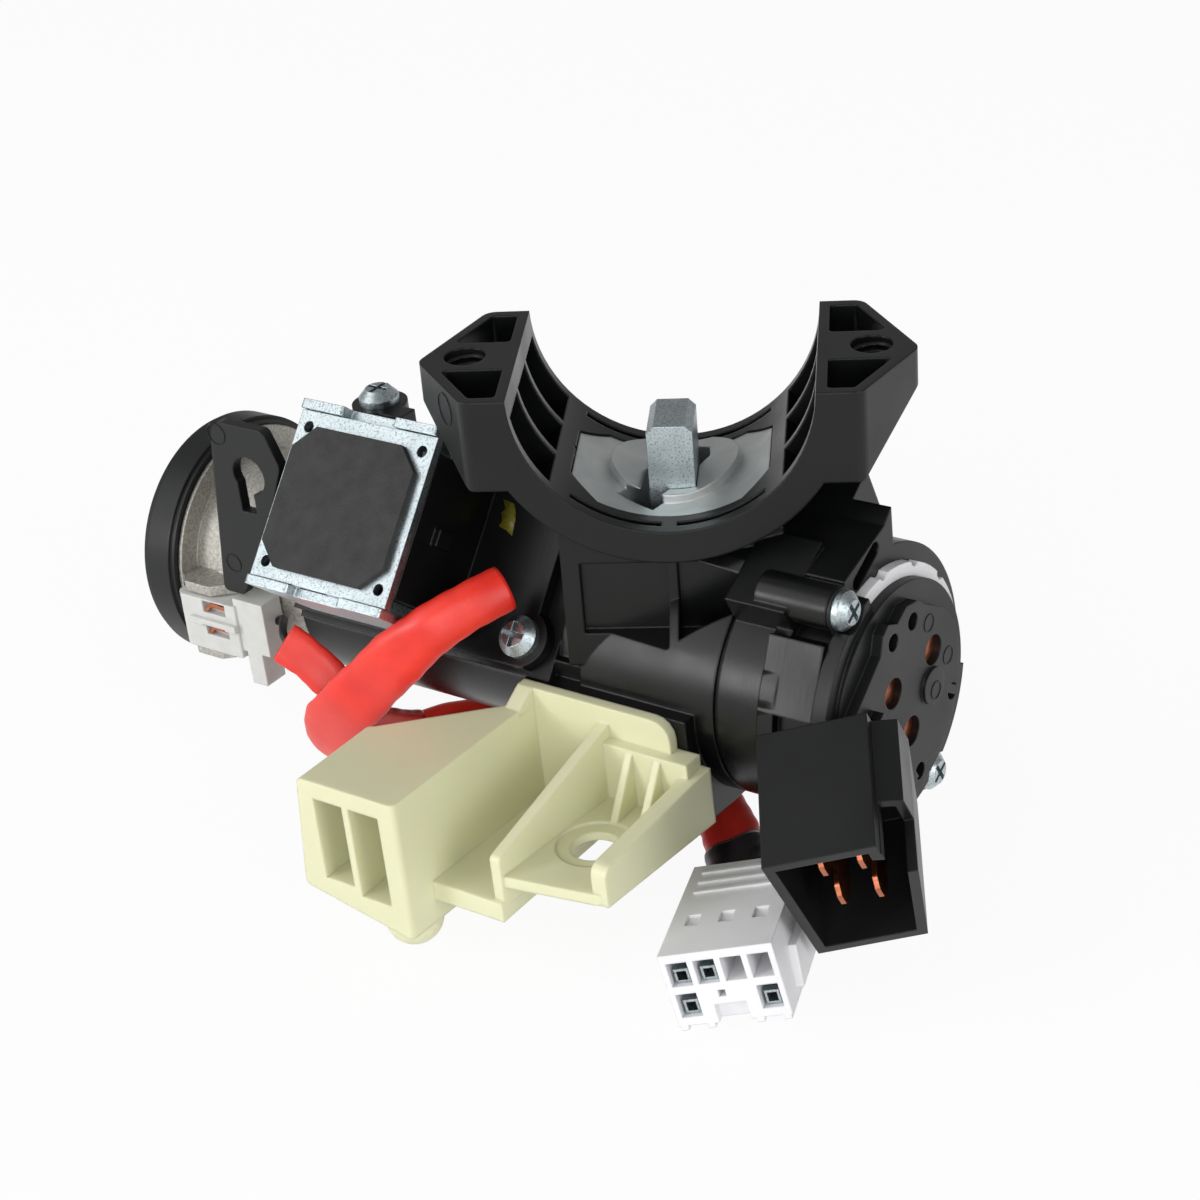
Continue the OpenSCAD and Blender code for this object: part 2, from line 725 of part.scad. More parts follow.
module bezel_ring() {
    wall = 3;
    ridge = 0.5;
    color(SATIN_BLACK)
        lock_frame()
            difference() {
                union() {
                    along(-bezel_front, -bezel_front + bezel_w, bezel_r - ridge);
                    along(-bezel_front + 1, -bezel_front + bezel_w - 1, bezel_r);
                }
                along(-bezel_front + 1.6, 0, sleeve_r + SEAT_GAP);
                along(-bezel_front - 1, 0, plug_r + wall);
            }
}

// Key reminder switch, held between the sleeve's two ears
EAR_TOP = 1.5;
EAR_LOW = -11.5;
EAR_T = 2;
EAR_FROM = -97;
EAR_TO = -83;
EAR_REACH = 23;
REMINDER_S = -90;
REMINDER_M = -4;
REMINDER_PIN_R = 1.4;
REMINDER_TOP = EAR_TOP - EAR_T / 2 - 0.2;
REMINDER_LOW = EAR_LOW + EAR_T / 2 + 0.2;
REMINDER_FACE = -24;
REMINDER_BACK = -18.6;
CONTACT_T = 0.7;
CONTACT_Z = [REMINDER_M + 1.6, REMINDER_M - 3];
CONTACT_S = EAR_TO - 7;
CONTACT_L = 5.5;
REMINDER_END = -75.5;
module reminder_body() {
    color(WHITE)
        lock_frame()
            difference() {
                union() {
                    translate([0, 0, REMINDER_LOW])
                        linear_extrude(REMINDER_TOP - REMINDER_LOW)
                            polygon(rounded([[EAR_FROM + 0.5, REMINDER_FACE, 2],
                                [EAR_TO + 1, REMINDER_FACE, 0.4], [EAR_TO + 1, REMINDER_BACK, 0],
                                [EAR_FROM + 0.5, REMINDER_BACK, 0]]));
                    // Tail for the leads and the lug that hooks under the lower ear
                    span([EAR_TO + 0.5, REMINDER_FACE + 0.5, REMINDER_LOW + 1.5],
                        [REMINDER_END, REMINDER_BACK, REMINDER_TOP + 1.5]);
                    span([EAR_TO + 2, REMINDER_FACE + 0.5, REMINDER_LOW - 5],
                        [EAR_TO + 5.5, REMINDER_BACK, REMINDER_LOW + 2]);
                    // Rib between the contacts
                    span([CONTACT_S - 3, REMINDER_FACE - 0.8, REMINDER_M - 0.9],
                        [EAR_TO + 1, REMINDER_FACE + 0.4, REMINDER_M + 0.5]);
                }
                // Pockets that show the contacts
                for (z = CONTACT_Z)
                    span([CONTACT_S, REMINDER_FACE - 1, z],
                        [CONTACT_S + CONTACT_L, REMINDER_FACE + 1.4, z + 2.4]);
                // Guide of the plunger and the room for its spring
                translate([REMINDER_S, REMINDER_FACE + 1.6, REMINDER_M])
                    rotate([-90, 0, 0])
                        cylinder(h = 20, r = REMINDER_PIN_R + 0.3, $fn = 32);
            }
}

module reminder_contacts() {
    t = CONTACT_T;
    end = CONTACT_L - 0.4;
    color(COPPER)
        lock_frame()
            for (z = CONTACT_Z)
                translate([CONTACT_S + 0.2, REMINDER_FACE + 1.4 - EPS, z + 0.2])
                    rotate([90, 0, 0])
                        linear_extrude(1.3)
                            polygon([[0, 0], [t, 0], [2, 1.2], [end, 1], [end, 1 + t], [1.7, 1.3 + t]]);
}

REMINDER_TIP = -plug_r - 0.5;
REMINDER_PIN_BACK = -19.4;
module reminder_plunger() {
    color(WHITE)
        lock_frame()
            translate([REMINDER_S, REMINDER_PIN_BACK, REMINDER_M])
                rotate([-90, 0, 0])
                    cylinder(h = REMINDER_TIP - REMINDER_PIN_BACK, r = REMINDER_PIN_R, $fn = 32);
}

module reminder_spring() {
    gap = 0.2;
    from = REMINDER_FACE + 1.6 + gap;
    color(STEEL)
        lock_frame()
            translate([REMINDER_S, from, REMINDER_M])
                rotate([-90, 0, 0])
                    coil_spring(0.9, 0.35, REMINDER_PIN_BACK - gap - from, 5, 10, 5);
}

// Arm with a keyhole that takes a harness clip
ARM_N = -20.5;
ARM_T = 2;
ARM_FOOT = EAR_TOP + EAR_T / 2 + SEAT_GAP;
KEYHOLE = [-73.6, 27.6];
KEYHOLE_R = 3.6;
module clip_arm() {
    color(SATIN_BLACK)
        lock_frame()
            translate([0, ARM_N, 0])
                rotate([90, 0, 0])
                    difference() {
                        linear_extrude(ARM_T)
                            polygon(rounded([[-85, ARM_FOOT, 1], [-80, ARM_FOOT, 1], [-70, 20.5, 6],
                                [-65.8, 30.5, 2], [-68.6, 37, 1.5], [-80.8, 37, 3]]));
                        translate([KEYHOLE.x, KEYHOLE.y, -1])
                            cylinder(h = ARM_T + 2, r = KEYHOLE_R, $fn = 40);
                        translate([KEYHOLE.x - 1.3, KEYHOLE.y - 4.6, -1])
                            linear_extrude(ARM_T + 2)
                                square([3.4, 5.6], center = true);
                    }
}

// Solenoid
CASE_BACK = SEAT_Z + SEAT_GAP;
YOKE_BACK = CASE_BACK + FLANGE_T + SEAT_GAP;
PLATE_BACK = plate_reach - steel_t;
COIL_R = 10.5;
BOBBIN_R = 12;
PLUNGER_R = 3.6;
PLUNGER_TIP_R = 2.5;
module solenoid_case() {
    half = plate_w / 2;
    cx = -solenoid_s;
    color(BLACK)
        difference() {
            union() {
                // Ear folded level at the flange's top edge
                lock_frame() {
                    translate([TOP_SCREW.x, TOP_SCREW.y, TOP_SCREW_M])
                        cylinder(h = FLANGE_T, r = EAR_R);
                    span([TOP_SCREW.x - EAR_R + 2, TOP_SCREW.y - EAR_R + 1, TOP_SCREW_M],
                        [TOP_SCREW.x + EAR_R + 3, TOP_SCREW.y, TOP_SCREW_M + FLANGE_T]);
                }
                solenoid_frame() {
                    // Flange with an ear at its lower screw
                    span([SEAT_LEFT, SEAT_LOW + 1, CASE_BACK],
                        [SEAT_RIGHT - 4, SEAT_HIGH, CASE_BACK + FLANGE_T]);
                    translate([SCREW_A.x, SCREW_A.y, CASE_BACK])
                        cylinder(h = FLANGE_T, r = EAR_R);
                    // Cheeks either side of the coil
                    for (side = [-1, 1])
                        translate([cx + side * (half - 1.2), solenoid_lift, CASE_BACK])
                            translate([-1.2, -half + steel_t + 0.4, 0])
                                cube([2.4, plate_w - 2 * steel_t - 0.8, PLATE_BACK - CASE_BACK - SEAT_GAP]);
                    // Latch on the right cheek
                    span([cx + half - 0.5, solenoid_lift - 2, PLATE_BACK - 9],
                        [cx + half + 1.2, solenoid_lift + 1, PLATE_BACK - 5]);
                }
            }
            solenoid_frame() {
                translate([cx, solenoid_lift, 0])
                    cylinder(h = 60, r = PLUNGER_TIP_R + FREE_GAP);
                translate([SCREW_A.x, SCREW_A.y, 0])
                    cylinder(h = 60, d = SEAT_SCREW_D, $fn = 32);
            }
            lock_frame()
                translate([TOP_SCREW.x, TOP_SCREW.y, TOP_SCREW_M - 1])
                    cylinder(h = FLANGE_T + 2, d = SEAT_SCREW_D, $fn = 32);
            neck(SEAT_GAP);
            pillar(-1, SEAT_GAP);
            rotate([90, 0, 0])
                cylinder(h = saddle_len + 1, r = BAND_R + SEAT_GAP, center = true, $fn = 128);
        }
}

// Steel strap folded round the coil, open at both cheeks
TAB_W = 9.3;
TAB_PROUD = 1;
module solenoid_yoke() {
    half = plate_w / 2;
    inner = half + SEAT_GAP;
    outer = inner + steel_t;
    tip = plate_reach + TAB_PROUD;
    color(STEEL)
        solenoid_frame()
            translate([-solenoid_s, solenoid_lift, 0])
                difference() {
                    union() {
                        span([-half + 3, -outer, YOKE_BACK], [half - 3, outer, YOKE_BACK + steel_t]);
                        for (side = [-1, 1])
                            translate([0, side > 0 ? outer : -inner, 0])
                                rotate([90, 0, 0])
                                    linear_extrude(steel_t)
                                        polygon(rounded([[-half, YOKE_BACK, 0], [-half, tip, 0.6],
                                            [-half + TAB_W, tip, 0.6], [-half + TAB_W, PLATE_BACK, 0.3],
                                            [half - TAB_W, PLATE_BACK, 0.3], [half - TAB_W, tip, 0.6],
                                            [half, tip, 0.6], [half, YOKE_BACK, 0]]));
                    }
                    cylinder(h = 60, r = PLUNGER_TIP_R + FREE_GAP);
                }
}

module solenoid_plate() {
    half = plate_w / 2;
    hole = 2;
    color(STEEL)
        solenoid_frame()
            translate([-solenoid_s, solenoid_lift, PLATE_BACK])
                difference() {
                    span([-half, -half, 0], [half, half, steel_t]);
                    for (x = [-1, 1], y = [-1, 1])
                        translate([x * (half - 2.4), y * (half - 2.8), -1])
                            cylinder(h = steel_t + 2, d = hole, $fn = 24);
                }
}

module foam_pad() {
    w = plate_w / 2 - 1.55;
    h = plate_w / 2 - 2.35;
    cut = 4;
    t = 1.2;
    color(FOAM)
        solenoid_frame()
            translate([-solenoid_s - 0.4, solenoid_lift - 0.3, plate_reach])
                linear_extrude(t)
                    polygon([[-w, -h + cut], [-w + cut, -h], [w - cut, -h], [w, -h + cut],
                        [w, h - cut], [w - cut, h], [-w + cut, h], [-w, h - cut]]);
}

BOBBIN_BACK = YOKE_BACK + steel_t + SEAT_GAP;
BOBBIN_FRONT = PLATE_BACK - SEAT_GAP;
BOBBIN_WALL = 1;
module coil_bobbin() {
    color(SATIN_BLACK)
        solenoid_frame()
            translate([-solenoid_s, solenoid_lift, BOBBIN_BACK])
                difference() {
                    union() {
                        cylinder(h = BOBBIN_WALL, r = BOBBIN_R);
                        cylinder(h = BOBBIN_FRONT - BOBBIN_BACK, r = PLUNGER_R + BOBBIN_WALL + RUN_GAP);
                        translate([0, 0, BOBBIN_FRONT - BOBBIN_BACK - BOBBIN_WALL])
                            cylinder(h = BOBBIN_WALL, r = BOBBIN_R);
                    }
                    translate([0, 0, -1])
                        cylinder(h = 60, r = PLUNGER_R + RUN_GAP);
                }
}

module coil_winding() {
    color(WIRE)
        solenoid_frame()
            translate([-solenoid_s, solenoid_lift, BOBBIN_BACK + BOBBIN_WALL + EPS])
                difference() {
                    cylinder(h = BOBBIN_FRONT - BOBBIN_BACK - 2 * BOBBIN_WALL - 2 * EPS, r = COIL_R);
                    translate([0, 0, -1])
                        cylinder(h = 60, r = PLUNGER_R + BOBBIN_WALL + RUN_GAP + EPS);
                }
}

PLUNGER_TIP = 9.9;
PLUNGER_TOP = BOBBIN_FRONT - 5;
PLUNGER_SHOULDER = YOKE_BACK + steel_t + plunger_travel + 0.8;
module interlock_plunger() {
    color(STEEL)
        solenoid_frame()
            translate([-solenoid_s, solenoid_lift, 0]) {
                translate([0, 0, PLUNGER_TIP])
                    cylinder(h = PLUNGER_TOP - PLUNGER_TIP, r = PLUNGER_TIP_R);
                translate([0, 0, PLUNGER_SHOULDER])
                    cylinder(h = PLUNGER_TOP - PLUNGER_SHOULDER, r = PLUNGER_R);
            }
}

module plunger_spring() {
    gap = 0.1;
    from = YOKE_BACK + steel_t + gap;
    color(STEEL)
        solenoid_frame()
            translate([-solenoid_s, solenoid_lift, from])
                coil_spring(3.05, 0.5, PLUNGER_SHOULDER - gap - from, 4, 14, 5);
}

module solenoid_screws() {
    color(STEEL) {
        solenoid_frame()
            translate([SCREW_A.x, SCREW_A.y, CASE_BACK + FLANGE_T])
                pan_screw(7.2, 2.8, 2.6 - 2 * EPS, 10);
        lock_frame()
            translate([TOP_SCREW.x, TOP_SCREW.y, TOP_SCREW_M + FLANGE_T])
                pan_screw(7.2, 2.8, 2.6 - 2 * EPS, 10);
    }
}

// Switch
CASE_BACK_S = SEAT_S + SEAT_GAP;
CASE_WALL = 2;
CARRIER_S = 36.4;
CARRIER_T = 3.4;
BASE_S = CARRIER_S + CARRIER_T;
ROTOR_R = CASE_OUT_R - CASE_WALL - FREE_GAP;
module switch_case() {
    color(BLACK)
        lock_frame()
            difference() {
                along(CASE_BACK_S, CARRIER_S, CASE_OUT_R);
                along(CASE_BACK_S + CASE_WALL, CASE_END + 1, CASE_OUT_R - CASE_WALL);
                along(CASE_BACK_S - 1, CASE_END, SHAFT_R + 1.5);
            }
}

// White plate that carries the fixed contacts; its scalloped rim shows round the back of the switch face
SCALLOPS = 14;
CARRIER_R = 22.2;
CARRIER_DISC_R = 19;
LOBES_FROM = -12;
LOBES_TO = 106;
module contact_carrier() {
    color(WHITE)
        lock_frame()
            difference() {
                union() {
                    along(CASE_END + EPS, BASE_S - EPS, CARRIER_DISC_R);
                    along(CARRIER_S + EPS, CASE_END + 1, CASE_OUT_R);
                    lock_ring(CASE_END + EPS, BASE_S - EPS, CARRIER_DISC_R - 1, CARRIER_R, LOBES_FROM, LOBES_TO);
                }
                for (i = [0 : SCALLOPS - 1])
                    rotate([360 * (i + 0.5) / SCALLOPS, 0, 0])
                        translate([0, CARRIER_R + 0.6, 0])
                            along(CARRIER_S - 1, BASE_S + 1, 1.4);
            }
}

// Face holes as angle and radius
FACE_HOLES = [83, 109, 169, 260, 276, 339];
FACE_HOLE_CIRCLE = 14;
RIVETS = [[7.6, 5.6], [-5.4, 4.4], [-0.6, -5.2]];
RIVET_HOLE_R = 2.6;

// The socket leans out of the switch face and hangs towards the front
SOCKET_TURN = 119;
SOCKET_LEAN = 29;
SOCKET_MOUTH = [53, -38, -12];
module socket_frame() {
    lock_frame()
        translate(SOCKET_MOUTH)
            rotate([SOCKET_TURN, 0, 0])
                rotate([0, SOCKET_LEAN, 0])
                    children();
}

// Block between the face and the back of the shroud
module socket_root() {
    lock_frame()
        rotate([SOCKET_TURN, 0, 0])
            span([BASE_S, -11, 8], [face_s + 2, 10, 26]);
}

// Outline of the face, as it looks from the switch end
FACE_OUTLINE = [[-19.5, 4.5], [-8.5, 12.7], [-7.5, 15.8], [-5.7, 17], [-3, 15.8], [0, 17.4],
    [3.4, 16.8], [5.4, 15.2], [11.3, 11.6], [14.6, 7.8], [15.8, 3], [15.4, -2.6], [13, -8.7],
    [9.8, -11.5], [9.6, -12.6], [7.2, -13.6], [3.4, -13.4], [2.9, -15.6], [-0.2, -15.6], [-3.8, -15.8],
    [-10, -10], [-15.5, -2], [-19, 1.5]];
NOTCH_W = 7;
NOTCH_DEPTH = 9;
// Keying channel along the right wall: how far it stands out and where its corner is
CHANNEL_OUT = 3.8;
CHANNEL_DROP = 9.4;

module socket_outline() {
    half = socket_w / 2;
    top = socket_h / 2;
    polygon([[-half, top], [-half, -top], [half, -top], [half + CHANNEL_OUT, top - CHANNEL_DROP],
        [half + CHANNEL_OUT, top - 3.4], [half, top - 2.4], [half, top]]);
}
EAR_END = 38.6;
HEAD_R = 3.3;
module switch_base() {
    color(SATIN_BLACK)
        difference() {
            union() {
                lock_frame() {
                    lock_prism(BASE_S, face_s, FACE_OUTLINE);
                    along(BASE_S, BASE_S + 1.8, CARRIER_DISC_R + 0.9);
                    // Skirt round the front, where the white rim doesn't show
                    lock_ring(CASE_END + SEAT_GAP, BASE_S + 1, CARRIER_DISC_R + SEAT_GAP, CARRIER_R + 0.3,
                        LOBES_TO + 1, LOBES_FROM + 359);
                    // Ears under the two screws
                    for (a = SCREW_ANGLES) {
                        rotate([a, 0, 0])
                            span([CASE_END + SEAT_GAP, CARRIER_R - 1, -BOSS_R], [EAR_END, screw_circle, BOSS_R]);
                        switch_boss(a, CASE_END + SEAT_GAP, EAR_END, BOSS_R);
                    }
                    // Boss in the middle of the face
                    translate([0, 6.5, -0.4])
                        along(face_s - 1, face_s + 0.6, 3.2);
                }
                difference() {
                    union() {
                        socket_frame()
                            translate([0, 0, -socket_len])
                                linear_extrude(socket_len)
                                    socket_outline();
                        socket_root();
                    }
                    // Nothing of the shroud reaches into the case or the carrier
                    lock_frame()
                        along(-20, BASE_S, CARRIER_R + 0.4);
                }
            }
            lock_frame() {
                for (a = FACE_HOLES)
                    rotate([a, 0, 0])
                        translate([0, FACE_HOLE_CIRCLE, 0])
                            along(face_s - 3, face_s + 4, 1.5);
                for (p = RIVETS)
                    translate([0, p.x, p.y])
                        along(face_s - 3, face_s + 4, RIVET_HOLE_R);
                for (a = SCREW_ANGLES)
                    switch_boss(a, CASE_END - 3, face_s + 4, 1.5);
                // Room for the screws' heads
                for (a = SCREW_ANGLES)
                    switch_boss(a, EAR_END, face_s + 4, HEAD_R + 0.3);
            }
            socket_frame() {
                translate([0, 0, -socket_len + 3])
                    linear_extrude(socket_len)
                        offset(delta = -socket_wall)
                            socket_outline();
                // Keying notch in the right wall, down to the corner of the channel
                translate([socket_w / 2 + 0.2, socket_h / 2 - CHANNEL_DROP + 0.5, -NOTCH_DEPTH])
                    cube([CHANNEL_OUT + 1, NOTCH_W, NOTCH_DEPTH + 1]);
            }
        }
}

ROTOR_FROM = CASE_BACK_S + CASE_WALL + 0.4;
ROTOR_TO = CARRIER_S - 0.9;
module switch_rotor() {
    color(WHITE)
        lock_frame()
            difference() {
                along(ROTOR_FROM, ROTOR_TO, ROTOR_R);
                span([CASE_BACK_S, -TANG_W / 2 - SEAT_GAP, -TANG_T / 2 - SEAT_GAP],
                    [ROTOR_TO + 1, TANG_W / 2 + SEAT_GAP, TANG_T / 2 + SEAT_GAP]);
            }
}

module contact_bridge() {
    color(COPPER)
        lock_frame()
            for (a = [0, 180])
                rotate([a + 90, 0, 0])
                    span([ROTOR_TO, 8, -2], [ROTOR_TO + 0.5, 13, 2]);
}

module contact_rivets() {
    color(COPPER)
        lock_frame()
            for (p = RIVETS)
                translate([0, p.x, p.y])
                    along(face_s - 3, face_s - 1.2, RIVET_HOLE_R - 0.05);
}

BLADE_W = 6.3;
BLADE_T = 0.8;
BLADE_X = [-1.2, 4.8];
BLADE_Y = [6.5, -2.5];
module socket_blades() {
    reach = socket_len - 4.5;
    half = BLADE_W / 2;
    color(COPPER)
        socket_frame()
            for (x = BLADE_X, y = BLADE_Y)
                translate([x - BLADE_T / 2, y, -socket_len + 3])
                    rotate([90, 0, 90])
                        linear_extrude(BLADE_T)
                            polygon(rounded([[-half, 0, 0], [half, 0, 0], [half, reach - 1.5, 1],
                                [half - 1.5, reach, 0.5], [-half + 2.5, reach, 0.5], [-half, reach - 3, 1]]));
}

module switch_screws() {
    color(STEEL)
        lock_frame()
            for (a = SCREW_ANGLES)
                rotate([a, 0, 0])
                    translate([EAR_END, screw_circle, 0])
                        rotate([0, 90, 0])
                            pan_screw(2 * HEAD_R, 2.4, 2.6 - 2 * EPS, 13);
}

// Harness bracket: a holder with two pockets, a flange on the housing's pad and an open tray
BRACKET_BACK = BRACKET_PAD_N - SEAT_GAP;
HOLDER_TOP = -0.5;
HOLDER_LEFT = -34.2;
HOLDER_RIGHT = -14.4;
HOLDER_LEAN = 2;
HOLDER_SLOPE = 5;
HOLDER_BODY = 18;
HOLDER_NECK = 3;
NECK_RIGHT = HOLDER_RIGHT + 1;
POCKETS = [[2.9, 6, 18.5], [10.2, 6.2, 20]];
POCKET_LIP = 3.2;
POCKET_REACH = 15;
BRACKET_CREST = 1.9;
BRACKET_END = 13.7;
STEP_TOP = -18.5;
STEP_FOOT = -22;
STEP_FRONT = -55.5;
TRAY_LEFT = -2.2;
TRAY_FRONT = -54.6;
TRAY_RIGHT = 18;
TRAY_CORNER = -51.4;
TRAY_SKEW = 3.8;
TRAY_FLOOR = -16;
TRAY_SIDE = 3;
TRAY_BACK_TOP = -3.6;
GUSSET_FRONT = -10.6;
GUSSET_BACK = -0.6;
SIDE_FRONT = -9.2;
SIDE_BACK = -5.6;
TRAY_HOLE = [7.5, -40];
TRAY_HOLE_R = 4;
PEG_R = 4.9;

// A wall of the tray that stands on its floor and rises towards the back
module tray_wall(corner, t, profile) {
    translate([corner.x, corner.y, 0])
        rotate([0, 0, -TRAY_SKEW])
            rotate([90, 0, 90])
                linear_extrude(t)
                    polygon(rounded(profile));
}

// Holder, with a leaning left side, a sloping foot and a neck that runs back to the flange
module holder(front) {
    foot = HOLDER_TOP - holder_h;
    left = HOLDER_LEFT - HOLDER_LEAN;
    intersection() {
        translate([0, 0, foot])
            linear_extrude(holder_h)
                polygon(rounded([[left, front, 0], [HOLDER_RIGHT, front, 1], [NECK_RIGHT, BRACKET_BACK, 0],
                    [NECK_RIGHT - HOLDER_NECK, BRACKET_BACK, 0], [NECK_RIGHT - HOLDER_NECK, BRACKET_BACK - 5, 2],
                    [HOLDER_LEFT + 1.5, front + HOLDER_BODY, 1], [left, front + HOLDER_BODY - 1.5, 0]]));
        translate([0, BRACKET_BACK, 0])
            rotate([90, 0, 0])
                linear_extrude(bracket_reach + BRACKET_BACK)
                    polygon(rounded([[HOLDER_LEFT, HOLDER_TOP, 1], [HOLDER_RIGHT + 2, HOLDER_TOP, 0],
                        [HOLDER_RIGHT + 2, foot, 0], [left, foot + HOLDER_SLOPE, 1]]));
    }
    // Round peg under the holder's right front corner
    translate([HOLDER_RIGHT - PEG_R, front + PEG_R + 1.5, foot])
        cylinder(h = 8, r = PEG_R);
    translate([HOLDER_RIGHT - PEG_R, front + PEG_R + 1.5, foot])
        sphere(PEG_R);
}

module harness_bracket() {
    front = -bracket_reach;
    w = bracket_wall;
    depth = BRACKET_BACK - TRAY_FRONT;
    side_depth = BRACKET_BACK - TRAY_CORNER;
    neck_left = NECK_RIGHT - HOLDER_NECK;
    tray_end = TRAY_RIGHT + side_depth * tan(TRAY_SKEW);
    color(IVORY)
        lock_frame()
            difference() {
                union() {
                    holder(front);
                    // Ramp from the holder's top up to the flange
                    translate([neck_left, 0, 0])
                        rotate([90, 0, 90])
                            linear_extrude(HOLDER_NECK)
                                polygon([[BRACKET_BACK - 6, HOLDER_TOP - 1], [BRACKET_BACK - 6, HOLDER_TOP],
                                    [BRACKET_BACK - w, BRACKET_CREST], [BRACKET_BACK, BRACKET_CREST],
                                    [BRACKET_BACK, HOLDER_TOP - 1]]);
                    // Flange against the housing
                    translate([0, BRACKET_BACK, 0])
                        rotate([90, 0, 0])
                            linear_extrude(w)
                                polygon(rounded([[neck_left, STEP_FOOT, 0], [neck_left, BRACKET_CREST, 0],
                                    [BRACKET_END, BRACKET_CREST, 3.5], [BRACKET_END, TRAY_FLOOR, 0],
                                    [TRAY_LEFT + w, TRAY_FLOOR, 0], [TRAY_LEFT + w, STEP_FOOT, 0]]));
                    // Step beside the holder, then the tray's floor
                    span([HOLDER_RIGHT - 1, STEP_FRONT, STEP_FOOT], [TRAY_LEFT + w, BRACKET_BACK, STEP_TOP]);
                    translate([0, 0, TRAY_FLOOR])
                        linear_extrude(w)
                            polygon(rounded([[TRAY_LEFT, TRAY_FRONT, 0], [TRAY_RIGHT, TRAY_CORNER, 3],
                                [tray_end, BRACKET_BACK, 0], [TRAY_LEFT, BRACKET_BACK, 0]]));
                    // Left gusset, right side and back of the tray
                    tray_wall([TRAY_LEFT, TRAY_FRONT], w, [[0, STEP_TOP - 1, 0], [0, GUSSET_FRONT, 1],
                        [depth, GUSSET_BACK, 0], [depth, STEP_TOP - 1, 0]]);
                    tray_wall([TRAY_RIGHT - TRAY_SIDE, TRAY_CORNER + 0.2], TRAY_SIDE, [[0, TRAY_FLOOR, 0],
                        [0, SIDE_FRONT, 2], [side_depth, SIDE_BACK, 0], [side_depth, TRAY_FLOOR, 0]]);
                    span([TRAY_LEFT + w, BRACKET_BACK - 2 * w, TRAY_FLOOR],
                        [TRAY_RIGHT, BRACKET_BACK, TRAY_BACK_TOP]);
                    // Two ribs brace the back on the floor
                    for (x = [6, 11.5])
                        translate([x, BRACKET_BACK - 2 * w, 0])
                            rotate([90, 0, 90])
                                linear_extrude(1.4)
                                    polygon([[0.5, TRAY_FLOOR + 1], [0.5, TRAY_BACK_TOP - 0.6],
                                        [0, TRAY_BACK_TOP - 0.6], [-6, TRAY_FLOOR + w], [-6, TRAY_FLOOR + 1]]);
                }
                // Two pockets in the holder's mouth
                for (p = POCKETS)
                    span([HOLDER_LEFT + p.x, front - 1, HOLDER_TOP - p.z],
                        [HOLDER_LEFT + p.x + p.y, front + POCKET_REACH, HOLDER_TOP - POCKET_LIP]);
                // Hole and dish in the tray's floor
                translate([TRAY_HOLE.x, TRAY_HOLE.y, TRAY_FLOOR - 1])
                    cylinder(h = w + 2, r = TRAY_HOLE_R);
                translate([TRAY_HOLE.x, TRAY_HOLE.y, TRAY_FLOOR + w - 0.5])
                    cylinder(h = 1, r = TRAY_HOLE_R + 2.4);
            }
}

// Harness, as points chosen along its run
SLEEVE_D = 7;
THIN_SLEEVE_D = 5.5;
SOLENOID_LEAD_ROUTE = [[-19.5, -22, 17.5], [-23, -28, 16], [-27.5, -33, 13], [-33, -35.5, 8],
    [-39.5, -36.5, 1.5], [-46, -35.5, -6.5], [-52, -32.5, -15], [-56, -28, -22.5], [-58, -21.5, -27.5],
    [-57.5, -14, -28.5], [-54, -7.5, -27], [-48, -3, -26], [-40, -1, -26], [-30, 0, -26],
    [-20, -1, -26], [-10, -2, -26.5], [0, -3, -27], [8, -5, -27], [15, -8.5, -27], [20.5, -14, -26.8],
    [24.3, -20, -26.3], [26.6, -25.1, -25.9]];
REMINDER_LEAD_ROUTE = [[-67.5, -22.5, -2], [-63, -25, -3.5], [-58.5, -26.5, -6.5], [-56, -25.5, -11.5],
    [-55, -22, -17], [-55, -16.5, -21], [-55, -11.5, -24]];
LEAD_WIRE_ROUTE = [[REMINDER_END, -20, -3], [-74, -19.8, -1.8], [-72, -20, -0.5], [-67.5, -22.5, -2]];
module solenoid_lead() {
    color(RED)
        lock_frame()
            route_tube(SOLENOID_LEAD_ROUTE, SLEEVE_D, 10);
}

module reminder_lead() {
    color(RED)
        lock_frame()
            route_tube(REMINDER_LEAD_ROUTE, THIN_SLEEVE_D, 10);
}

module lead_wires() {
    color(BLACK)
        lock_frame()
            route_tube(LEAD_WIRE_ROUTE, 2, 8);
}

// Harness plug
PLUG_FACE = [8.3, -62, -79];
PLUG_TURN = [-4.7, -13.9, -7.7];
CAVITY_W = 3.4;
CAVITY_H = 4.2;
PLUG_CAVITIES = [[-6.6, 2.8], [-2.2, 2.8], [2.2, 2.8], [6.6, 2.8], [-6.6, -2.8], [6.6, -2.8]];
PLUG_FILLED = [0, 1, 4, 5];
GRIP_RIBS = [3, 6, 9];
PLUG_FEET = [-8.4, -4, 4, 8.4];
WINDOWS = [-5.6, 0, 5.6];
module plug_frame() {
    translate(PLUG_FACE)
        rotate(PLUG_TURN)
            children();
}

